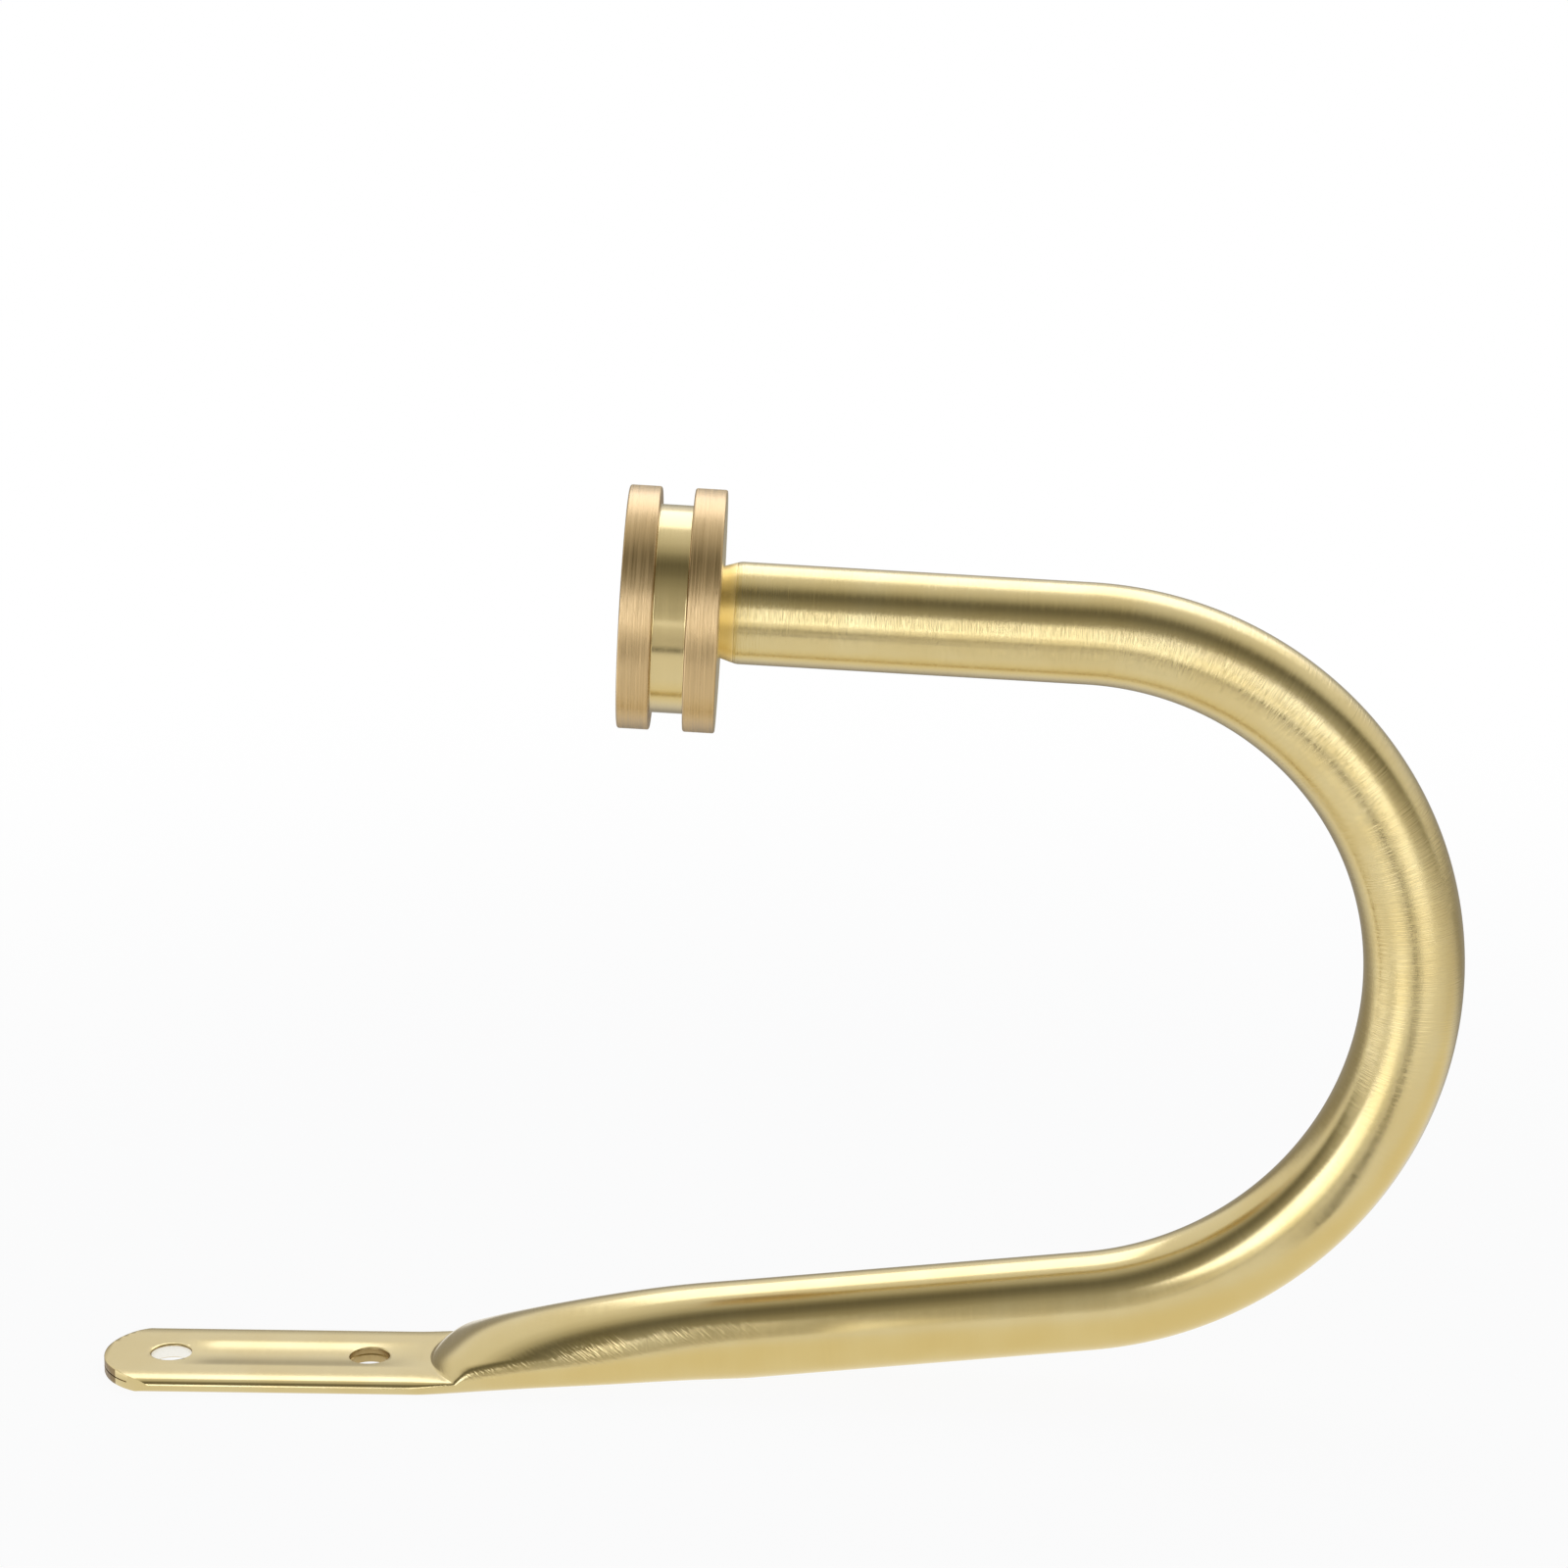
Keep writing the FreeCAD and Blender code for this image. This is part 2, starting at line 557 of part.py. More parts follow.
def hook_tube():
    """The bent tube with its flattened, pierced tab."""
    body = new_body("hook_tube")
    path = path_sketch(body)
    section = circle_sketch(body, "tube_section", "YZ_Plane", [("0", TUBE_RADIUS, TUBE_RADIUS)],
                            offset=ROUND_X, tilt="<tab_arm_slope>")
    run_pipe(body, "AdditivePipe", "tube_run", section, path)
    tab_section = flattened_end(body)
    pad_tab(body, tab_section)
    press_crease(body)
    press_channel(body)
    hollow_out(body, path)
    drill_holes(body)
    open_seam(body)
    return body


def end_insert():
    """The threaded plug whose cone closes the tube's mouth."""
    hole = "<thread_dia> / 2"
    spigot = f"({BORE_RADIUS} - <spigot_clearance>)"
    corners = [("-<spigot_length>", hole), ("<collar_length>", hole),
               ("<collar_length>", "<collar_small_dia> / 2"), ("0", TUBE_RADIUS), ("0", spigot),
               ("-<spigot_length>", spigot)]
    return turned_piece("end_insert", corners)


def stud():
    """The threaded stud between the insert and the finial, drawn at its thread diameter."""
    radius = "(<thread_dia> / 2 - <thread_clearance>)"
    tail = "(<collar_length> - <stud_in_insert>)"
    head = "(<collar_length> + <stud_in_finial>)"
    corners = [(tail, "0"), (head, "0"), (head, f"{radius} - <stud_chamfer>"),
               (f"{head} - <stud_chamfer>", radius), (f"{tail} + <stud_chamfer>", radius),
               (tail, f"{radius} - <stud_chamfer>")]
    return turned_piece("stud", corners)


def finial():
    """The turned finial: two discs with a groove between them and a blind tapped hole."""
    rim = "<finial_dia> / 2"
    broken = "(<finial_dia> / 2 - <finial_edge>)"
    hub = "<hub_dia> / 2"
    hole = "<thread_dia> / 2"
    back = "<collar_length>"
    groove = "(<collar_length> + <disc_thickness>)"
    front_disc = "(<collar_length> + <disc_thickness> + <groove_width>)"
    front = "(<collar_length> + 2 * <disc_thickness> + <groove_width>)"
    hole_end = "(<collar_length> + <stud_in_finial> + <tapped_margin>)"
    corners = [(back, hole), (back, broken), (f"{back} + <finial_edge>", rim),
               (f"{groove} - <finial_edge>", rim), (groove, broken), (groove, hub),
               (front_disc, hub), (front_disc, broken), (f"{front_disc} + <finial_edge>", rim),
               (f"{front} - <finial_edge>", rim), (front, broken), (front, "0"),
               (hole_end, "0"), (hole_end, hole)]
    return turned_piece("finial", corners)


def check_document(parts):
    """Stop if any object failed to build or any sub-part has no sound solid."""
    for item in doc.Objects:
        if "Invalid" in item.State or "Error" in item.State:
            raise RuntimeError(f"{item.Label} failed: {item.State}")
    for body in parts:
        if body.Shape.isNull() or not body.Shape.isValid():
            raise RuntimeError(f"{body.Label} has no valid shape")
        if len(body.Shape.Solids) != 1:
            raise RuntimeError(f"{body.Label} has {len(body.Shape.Solids)} solids")


parts = [hook_tube(), end_insert(), stud(), finial()]
doc.recompute()
check_document(parts)
os.makedirs("parts", exist_ok=True)
for body in parts:
    body.Shape.exportStep(f"parts/{body.Label}.step")
    box = body.Shape.BoundBox
    print(f"{body.Label}: volume {body.Shape.Volume:.1f} mm3, x {box.XMin:.2f} to {box.XMax:.2f}, "
          f"y {box.YMin:.2f} to {box.YMax:.2f}, z {box.ZMin:.2f} to {box.ZMax:.2f}")
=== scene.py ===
"""Dresses the curtain holdback: clean meshes, brass finishes, a soft studio and the camera.

Pieces are drawn in millimetres in the part's own frame and written in metres: the origin lies
midway between the screw holes on the face that meets the wall, +Z leaves that face, and +X runs
along the tab towards the bend. Finishes, studio and camera are set out in metres.
"""
import logging
import math
from collections.abc import Callable
from dataclasses import dataclass, field
from enum import Enum
from functools import reduce

import bmesh
import bpy
import numpy as np
from mathutils import Matrix, Vector


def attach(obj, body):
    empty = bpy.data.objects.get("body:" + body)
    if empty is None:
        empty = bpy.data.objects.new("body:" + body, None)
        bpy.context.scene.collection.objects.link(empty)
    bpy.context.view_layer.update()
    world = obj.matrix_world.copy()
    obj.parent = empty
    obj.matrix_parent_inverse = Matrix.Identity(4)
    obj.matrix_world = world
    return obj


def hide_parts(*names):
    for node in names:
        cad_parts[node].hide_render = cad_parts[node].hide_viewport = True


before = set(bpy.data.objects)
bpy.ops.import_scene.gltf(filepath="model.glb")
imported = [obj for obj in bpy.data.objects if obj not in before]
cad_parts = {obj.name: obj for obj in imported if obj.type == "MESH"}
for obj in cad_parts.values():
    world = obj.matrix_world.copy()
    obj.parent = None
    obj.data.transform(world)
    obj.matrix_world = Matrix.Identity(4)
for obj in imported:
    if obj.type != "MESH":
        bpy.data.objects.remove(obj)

Pair = tuple[float, float]
Triple = tuple[float, float, float]
Array = np.ndarray
Object = bpy.types.Object
Material = bpy.types.Material
Socket = bpy.types.NodeSocket
Tree = bpy.types.NodeTree

LOG = logging.getLogger("holdback")
MM = 0.001
TINY = 1e-9
WELD = 2e-7
SHARP_ANGLE = 32.0
GRAIN = "grain"
WHITE = (1.0, 1.0, 1.0)
SIDEWAYS = np.array([0.0, 1.0, 0.0])


class Body(Enum):
    """The bodies that pieces ride on."""

    ROOT = "root"


class Slot(Enum):
    """The record's material slots."""

    TUBE = "brushed_brass"
    INSERT = "insert_brass"
    STUD = "stud_steel"
    FINIAL = "turned_brass"


class Card(Enum):
    """The glow of the cards that only reflections show: the dark and grey cards paint dark lines, bands and
    a grey stretch into the metal's reflections, and the side card paints a highlight on the bend.
    """

    DARK = (0.06, 0.057, 0.048)
    GREY = (0.78, 0.76, 0.72)
    SIDE = (1.7, 1.67, 1.55)


# Curves and meshes


def natural_spline(knots: Array, values: Array, at: Array) -> Array:
    """Run a natural cubic spline through values and read it at new places.

    Args:
        knots: Rising places of the values.
        values: One array of any shape per knot.
        at: Places to read, within the knots.

    Returns:
        One array of the same shape per place.
    """
    count = len(knots)
    flat = values.reshape(count, -1)
    gap = np.diff(knots)
    system = np.eye(count)
    right = np.zeros_like(flat)
    for i in range(1, count - 1):
        system[i, i - 1:i + 2] = gap[i - 1], 2 * (gap[i - 1] + gap[i]), gap[i]
        right[i] = 6 * ((flat[i + 1] - flat[i]) / gap[i] - (flat[i] - flat[i - 1]) / gap[i - 1])
    bend = np.linalg.solve(system, right)
    cell = np.clip(np.searchsorted(knots, at) - 1, 0, count - 2)
    left = (at - knots[cell])[:, None]
    rest = (knots[cell + 1] - at)[:, None]
    width = gap[cell][:, None]
    low, high = bend[cell], bend[cell + 1]
    result = (low * rest**3 + high * left**3) / (6 * width)
    result += (flat[cell] / width - low * width / 6) * rest
    result += (flat[cell + 1] / width - high * width / 6) * left
    return result.reshape((len(at),) + values.shape[1:])


def soft_min(first: Array, second: Array, width: Array) -> Array:
    """Take the lower of two heights, rounding the edge where they cross.

    Args:
        first: Heights of one surface.
        second: Heights of the other.
        width: Height difference within which the edge is rounded.

    Returns:
        The rounded lower surface.
    """
    safe = np.maximum(width, TINY)
    share = np.clip(0.5 + 0.5 * (second - first) / safe, 0.0, 1.0)
    return second + (first - second) * share - safe * share * (1.0 - share)


def smooth_step(low: float, high: float, value: Array) -> Array:
    """Rise smoothly from 0 at low to 1 at high."""
    share = np.clip((value - low) / (high - low), 0.0, 1.0)
    return share * share * (3.0 - 2.0 * share)


def arc_points(centre: Pair, radius: float, start: float, end: float, count: int) -> list[Pair]:
    """List points along an arc between two angles in degrees, without its last one."""
    angles = np.radians(start + (end - start) * np.arange(count) / count)
    return [(centre[0] + radius * math.cos(a), centre[1] + radius * math.sin(a)) for a in angles]


def line_points(start: Pair, end: Pair, count: int) -> list[Pair]:
    """List evenly spaced points along a line, without its last one."""
    shares = np.arange(count) / count
    return [(start[0] + (end[0] - start[0]) * s, start[1] + (end[1] - start[1]) * s) for s in shares]


def new_mesh(name: str, points: list[Triple], faces: list[tuple[int, ...]]) -> Object:
    """Make a mesh object.

    Args:
        name: Name of the object.
        points: Its points in metres.
        faces: Its faces, as numbers of points.

    Returns:
        The object, linked to the scene.
    """
    mesh = bpy.data.meshes.new(name)
    mesh.from_pydata(points, [], faces)
    mesh.validate()
    obj = bpy.data.objects.new(name, mesh)
    bpy.context.scene.collection.objects.link(obj)
    return obj


def ring_mesh(name: str, rings: Array, closed: bool = False) -> Object:
    """Skin a stack of rings of points.

    Args:
        name: Name of the object.
        rings: Points in millimetres, ring by ring.
        closed: Whether the last ring joins the first; if not, both get a face.

    Returns:
        The object, its faces turned outwards.
    """
    stack, around = rings.shape[:2]
    here = np.arange(stack * around).reshape(stack, around)
    beside = np.roll(here, -1, axis=1)
    quads = np.stack([here, beside, np.roll(beside, -1, axis=0), np.roll(here, -1, axis=0)], axis=-1)
    faces = quads[:stack if closed else -1].reshape(-1, 4).tolist()
    if not closed:
        faces += [here[0, ::-1].tolist(), here[-1].tolist()]
    obj = new_mesh(name, (rings.reshape(-1, 3) * MM).tolist(), faces)
    outward(obj)
    return obj


def lathe(profile: list[Pair], angles: Array) -> Array:
    """Turn a profile about its own axis.

    Args:
        profile: Points (distance along the axis, radius), in order.
        angles: Angles of the sections, in radians.

    Returns:
        One ring of points per angle, with the axis along X.
    """
    along, radius = np.array(profile).T
    rings = np.empty((len(angles), len(along), 3))
    rings[:, :, 0] = along
    rings[:, :, 1] = radius * np.cos(angles)[:, None]
    rings[:, :, 2] = radius * np.sin(angles)[:, None]
    return rings


def carve(target: Object, cutters: list[Object]) -> None:
    """Cut solids out of a mesh and delete them.

    Args:
        target: The mesh that is cut.
        cutters: The closed solids to remove from it.
    """
    for cutter in cutters:
        modifier = target.modifiers.new("carve", "BOOLEAN")
        modifier.object = cutter
        modifier.operation = "DIFFERENCE"
        modifier.solver = "EXACT"
        graph = bpy.context.evaluated_depsgraph_get()
        mesh = bpy.data.meshes.new_from_object(target.evaluated_get(graph))
        target.modifiers.clear()
        old, target.data = target.data, mesh
        bpy.data.meshes.remove(old)
        bpy.data.objects.remove(cutter)
        outward(target)


def outward(obj: Object) -> None:
    """Turn all faces of a closed mesh outwards and merge points that coincide.

    Args:
        obj: The mesh.
    """
    work = bmesh.new()
    work.from_mesh(obj.data)
    bmesh.ops.remove_doubles(work, verts=work.verts, dist=WELD)
    bmesh.ops.recalc_face_normals(work, faces=work.faces)
    work.to_mesh(obj.data)
    work.free()


def smooth(obj: Object, grain: Callable[[Array], Array], sharp_angle: float) -> None:
    """Store where each point lies on the brush lines, and shade a mesh smoothly.

    Args:
        obj: The mesh.
        grain: Turns points into places: distance across the lines, then two along them.
        sharp_angle: Angle in degrees above which an edge stays sharp.
    """
    mesh = obj.data
    points = np.empty(len(mesh.vertices) * 3)
    mesh.vertices.foreach_get("co", points)
    places = grain(points.reshape(-1, 3) / MM) * MM
    layer = mesh.attributes.new(GRAIN, "FLOAT_VECTOR", "POINT")
    layer.data.foreach_set("vector", places.astype(np.float32).ravel())
    mesh.shade_smooth()
    mesh.set_sharp_from_angle(angle=math.radians(sharp_angle))


def register(obj: Object, node: str, finishes: tuple[Material, ...]) -> None:
    """Put the finishes on a piece, and the piece in the place of a node.

    Args:
        obj: The finished piece.
        node: The node that it stands for.
        finishes: Its materials, in the order of the faces' numbers.
    """
    obj.data.materials.clear()
    for finish in finishes:
        obj.data.materials.append(finish)
    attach(obj, Body.ROOT.value)
    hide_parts(node)
    LOG.info("%s stands for %s with %d faces", obj.name, node, len(obj.data.polygons))


# Shader groups


class Nodes:
    """Lays out and links the nodes of one tree."""

    per_row: int = 12
    spacing: Pair = (180.0, -220.0)

    def __init__(self, tree: Tree) -> None:
        """Empty a tree and start on it."""
        self.tree = tree
        tree.nodes.clear()

    def add(self, kind: str, links: dict | None = None, **values: object) -> bpy.types.Node:
        """Add a node.

        Args:
            kind: Blender's name of the node type.
            links: Input name or number to the socket or plain value that goes in.
            values: Properties of the node itself.

        Returns:
            The node.
        """
        node = self.tree.nodes.new(kind)
        for key, value in values.items():
            setattr(node, key, value)
        for key, value in (links or {}).items():
            if isinstance(value, bpy.types.NodeSocket):
                self.tree.links.new(value, node.inputs[key])
            else:
                node.inputs[key].default_value = value
        row, column = divmod(len(self.tree.nodes), self.per_row)
        node.location = (self.spacing[0] * column, self.spacing[1] * row)
        return node

    def math(self, operation: str, *values: object) -> Socket:
        """Add a math node and return its result."""
        return self.add("ShaderNodeMath", dict(enumerate(values)), operation=operation).outputs[0]

    def times(self, *values: object) -> Socket:
        """Multiply values and return the product."""
        return reduce(lambda product, value: self.math("MULTIPLY", product, value), values)

    def remap(self, value: Socket, start: float, full: float, low: float = 0.0,
              high: float = 1.0) -> Socket:
        """Run smoothly from low where a value is at start to high where it is full."""
        links = {"Value": value, "From Min": start, "From Max": full, "To Min": low, "To Max": high}
        return self.add("ShaderNodeMapRange", links, interpolation_type="SMOOTHSTEP").outputs["Result"]

    def blend(self, share: object, first: object, second: object) -> Socket:
        """Mix two colours and return the result."""
        return self.add("ShaderNodeMix", {0: share, 6: first, 7: second}, data_type="RGBA").outputs[2]

    def stretch(self, vector: Socket, across: object, along: object) -> Socket:
        """Scale grain places across and along the lines."""
        scale = self.add("ShaderNodeCombineXYZ", {0: across, 1: along, 2: along}).outputs[0]
        return self.add("ShaderNodeVectorMath", {0: vector, 1: scale}, operation="MULTIPLY").outputs[0]

    def noise(self, vector: Socket, scale: float, detail: float, roughness: float) -> Socket:
        """Add a noise texture and return its value."""
        links = {"Vector": vector, "Scale": scale, "Detail": detail, "Roughness": roughness}
        return self.add("ShaderNodeTexNoise", links).outputs["Fac"]

    def surface(self, sink: str, share: Socket, first: bpy.types.Node, second: bpy.types.Node) -> None:
        """Mix two shaders and make the mix the surface of a Material or World."""
        mix = self.add("ShaderNodeMixShader", {0: share, 1: first.outputs[0], 2: second.outputs[0]})
        self.add(f"ShaderNodeOutput{sink}", {"Surface": mix.outputs[0]})


def rgba(colour: Triple) -> tuple[float, float, float, float]:
    """Give a colour full cover."""
    return (*colour, 1.0)


def new_material(name: str) -> tuple[Material, Nodes]:
    """Start a material.

    Args:
        name: Name of the material.

    Returns:
        The material and its empty node layer.
    """
    material = bpy.data.materials.new(name)
    material.use_nodes = True
    return material, Nodes(material.node_tree)


def new_group(name: str, inputs: dict[str, str], outputs: dict[str, str]) -> tuple:
    """Start a shader node group.

    Args:
        name: Name of the group.
        inputs: Input names and their socket types.
        outputs: Output names and their socket types.

    Returns:
        The tree, its node layer, the inputs' sockets by name and the output node.
    """
    tree = bpy.data.node_groups.new(name, "ShaderNodeTree")
    for in_out, sockets in (("INPUT", inputs), ("OUTPUT", outputs)):
        for socket, kind in sockets.items():
            tree.interface.new_socket(socket, in_out=in_out, socket_type=f"NodeSocket{kind}")
    nodes = Nodes(tree)
    source = nodes.add("NodeGroupInput")
    return tree, nodes, source.outputs, nodes.add("NodeGroupOutput")


def brush_group() -> Tree:
    """Build the group that lays brush lines over a surface.

    Returns:
        The group: fine lines, broad soft bands and blotches from the grain's place.
    """
    tree, nodes, given, sink = new_group(
        "BrushLines", {"Grain": "Vector", "Across": "Float", "Along": "Float"},
        {"Lines": "Float", "Bands": "Float", "Blotches": "Float"})
    fine = nodes.stretch(given["Grain"], given["Across"], given["Along"])
    lines = nodes.noise(fine, scale=1.0, detail=3.0, roughness=0.65)
    bands = nodes.noise(fine, scale=0.22, detail=2.0, roughness=0.5)
    blotches = nodes.noise(given["Grain"], scale=90.0, detail=2.0, roughness=0.5)
    for name, value in (("Lines", lines), ("Bands", bands), ("Blotches", blotches)):
        tree.links.new(value, sink.inputs[name])
    return tree


def scratch_group() -> Tree:
    """Build the group that scatters short handling scratches.

    Returns:
        The group: a mask of thin slanting strokes, thinned out by blotches.
    """
    tree, nodes, given, sink = new_group(
        "HandlingScratches", {"Grain": "Vector", "Slant": "Float", "Amount": "Float"},
        {"Strokes": "Float"})
    turned = nodes.add("ShaderNodeVectorRotate",
                       {"Vector": given["Grain"], "Axis": tuple(SIDEWAYS), "Angle": given["Slant"]},
                       rotation_type="AXIS_ANGLE").outputs[0]
    drawn = nodes.stretch(turned, across=4200.0, along=420.0)
    strokes = nodes.noise(drawn, scale=1.0, detail=2.0, roughness=0.6)
    places = nodes.noise(given["Grain"], scale=180.0, detail=1.0, roughness=0.5)
    mask = nodes.times(nodes.remap(strokes, start=0.36, full=0.74),
                       nodes.remap(places, start=0.2, full=0.5), given["Amount"])
    tree.links.new(mask, sink.inputs["Strokes"])
    return tree


# Finishes, with ramps along the tube and over the noise: where each begins and where it is full

ON_TAB = (0.0, -0.05)
ON_LOWER_ARM = (0.14, 0.02)
ON_UPPER_ARM = (0.06, 0.2)
HATCH_START = (-0.052, -0.046)
HATCH_END = (0.02, -0.024)
HATCH_RISE = (-0.05, -0.018, 0.0, 0.004)
HATCH_EDGE = (-0.0015, 0.0005)
BLOTCHED = (0.3, 0.7)
STREAKED = (0.65, 0.35)
LINED = (0.25, 0.75)


@dataclass(frozen=True)
class Brass:
    """A brushed metal finish.

    Colours are linear; lengths of brush lines are set by the scales across and along them. Calm
    is the share of the roughness on the lower arm, and faint that of the lines before the bend.
    """

    name: str
    tone: Triple
    warm_tone: Triple
    roughness: float
    roughness_swing: float
    across: float
    along: float
    line_height: float
    band_height: float
    scratch: float = 0.0
    scratch_slant: float = 0.0
    calm: float = 1.0
    faint: float = 1.0
    streak: float = 0.1
    streak_dark: float = 0.7
    coat: float = 0.3
    coat_roughness: float = 0.12

    def build(self, brush: Tree, scratches: Tree) -> Material:
        """Make the material.

        Args:
            brush: The group with the brush lines.
            scratches: The group with the handling scratches.

        Returns:
            The material.
        """
        material, nodes = new_material(self.name)
        grain = nodes.add("ShaderNodeAttribute", attribute_name=GRAIN).outputs["Vector"]
        drawn = {"Grain": grain, "Across": self.across, "Along": self.along}
        lines = nodes.add("ShaderNodeGroup", drawn, node_tree=brush).outputs
        marked = {"Grain": grain, "Slant": self.scratch_slant, "Amount": self.scratch}
        marks = nodes.add("ShaderNodeGroup", marked, node_tree=scratches).outputs
        fine = lines["Lines"]
        tint = nodes.remap(lines["Blotches"], *BLOTCHED)
        colour = nodes.blend(tint, rgba(self.tone), rgba(self.warm_tone))
        dull = tuple(self.streak_dark * value for value in self.warm_tone)
        streaks = nodes.times(nodes.remap(fine, *STREAKED), self.streak)
        colour = nodes.blend(streaks, colour, rgba(dull))
        path, _, over = nodes.add("ShaderNodeSeparateXYZ", {0: grain}).outputs
        swing = self.roughness_swing
        rough = nodes.times(
            nodes.remap(fine, *LINED, self.roughness - swing, self.roughness + swing),
            nodes.remap(path, *ON_LOWER_ARM, 1.0, self.calm))
        force = nodes.times(nodes.remap(path, *ON_UPPER_ARM, self.faint, 1.0),
                            nodes.remap(path, *ON_TAB, 1.0, 0.5 + 0.5 * self.calm))
        below = nodes.math("SUBTRACT", nodes.remap(path, *HATCH_RISE), over)
        hatch = nodes.times(nodes.remap(path, *HATCH_START), nodes.remap(path, *HATCH_END),
                            nodes.remap(below, *HATCH_EDGE), marks["Strokes"])
        height = nodes.math("MULTIPLY_ADD", lines["Bands"], self.band_height,
                            nodes.times(fine, self.line_height))
        height = nodes.math("SUBTRACT", nodes.times(height, force), hatch)
        bump = nodes.add("ShaderNodeBump", {"Height": height, "Strength": 1.0, "Distance": MM})
        shader = nodes.add("ShaderNodeBsdfPrincipled",
                           {"Base Color": colour, "Roughness": rough, "Metallic": 1.0,
                            "Coat Weight": self.coat, "Coat Roughness": self.coat_roughness,
                            "Normal": bump.outputs[0]})
        nodes.add("ShaderNodeOutputMaterial", {"Surface": shader.outputs[0]})
        return material


TUBE_BRASS = Brass("tube_brass", (0.66, 0.54, 0.27), (0.64, 0.51, 0.235), 0.19, 0.03,
                   across=6000.0, along=70.0, line_height=0.075, band_height=0.013,
                   scratch=0.016, scratch_slant=0.87, calm=0.93, faint=0.04, streak=0.05)
CUT_BRASS = Brass("cut_brass", (0.31, 0.22, 0.095), (0.22, 0.145, 0.055), 0.4, 0.1,
                  across=2500.0, along=900.0, line_height=0.02, band_height=0.03, coat=0.0)
PIERCED_BRASS = Brass("pierced_brass", (0.5, 0.375, 0.175), (0.38, 0.27, 0.11), 0.36, 0.1,
                      across=2500.0, along=900.0, line_height=0.02, band_height=0.03, coat=0.0)
BARE_METAL = Brass("bare_metal", (0.94, 0.92, 0.86), (0.88, 0.85, 0.76), 0.22, 0.06,
                   across=2500.0, along=900.0, line_height=0.01, band_height=0.01, coat=0.0)
# The finial's back face: brass lightened as painted light, so that the collar shows a brighter reflection
# of it.
BACK_PAINTED_LIGHT_BRASS = Brass("back_painted_light_brass", (0.84, 0.72, 0.41), (0.81, 0.68, 0.37), 0.34, 0.05,
                   across=4200.0, along=45.0, line_height=0.02, band_height=0.02)
RIM_BRASS = Brass("rim_brass", (0.63, 0.455, 0.235), (0.6, 0.425, 0.21), 0.34, 0.08, across=4200.0,
                  along=45.0, line_height=0.08, band_height=0.08, streak=0.5, coat=0.1)
HUB_BRASS = Brass("hub_brass", (0.66, 0.53, 0.265), (0.64, 0.51, 0.245), 0.18, 0.03,
                  across=4200.0, along=30.0, line_height=0.002, band_height=0.004)
# The end collar: brass made much lighter than the tube's, a painted highlight on the collar.
COLLAR_PAINTED_HIGHLIGHT_BRASS = Brass("collar_painted_highlight_brass", (0.88, 0.7, 0.34), (0.84, 0.66, 0.3), 0.34, 0.05,
                     across=4200.0, along=30.0, line_height=0.006, band_height=0.01)
STUD_STEEL = Brass("stud_steel", (0.42, 0.42, 0.41), (0.38, 0.38, 0.37), 0.35, 0.05,
                   across=4200.0, along=30.0, line_height=0.004, band_height=0.006, coat=0.0)


# The hook


@dataclass(frozen=True)
class Station:
    """A section of the flattened end: its distance from the start of opening, and its sizes."""

    place: float
    width: float
    height: float
    side: float


@dataclass(frozen=True)
class Hole:
    """A screw hole: its place, how far the channel sinks its rim, its lower radius, its lips' radii."""

    name: str
    x: float
    sink: float
    inner: float
    lip: float
    foot: float


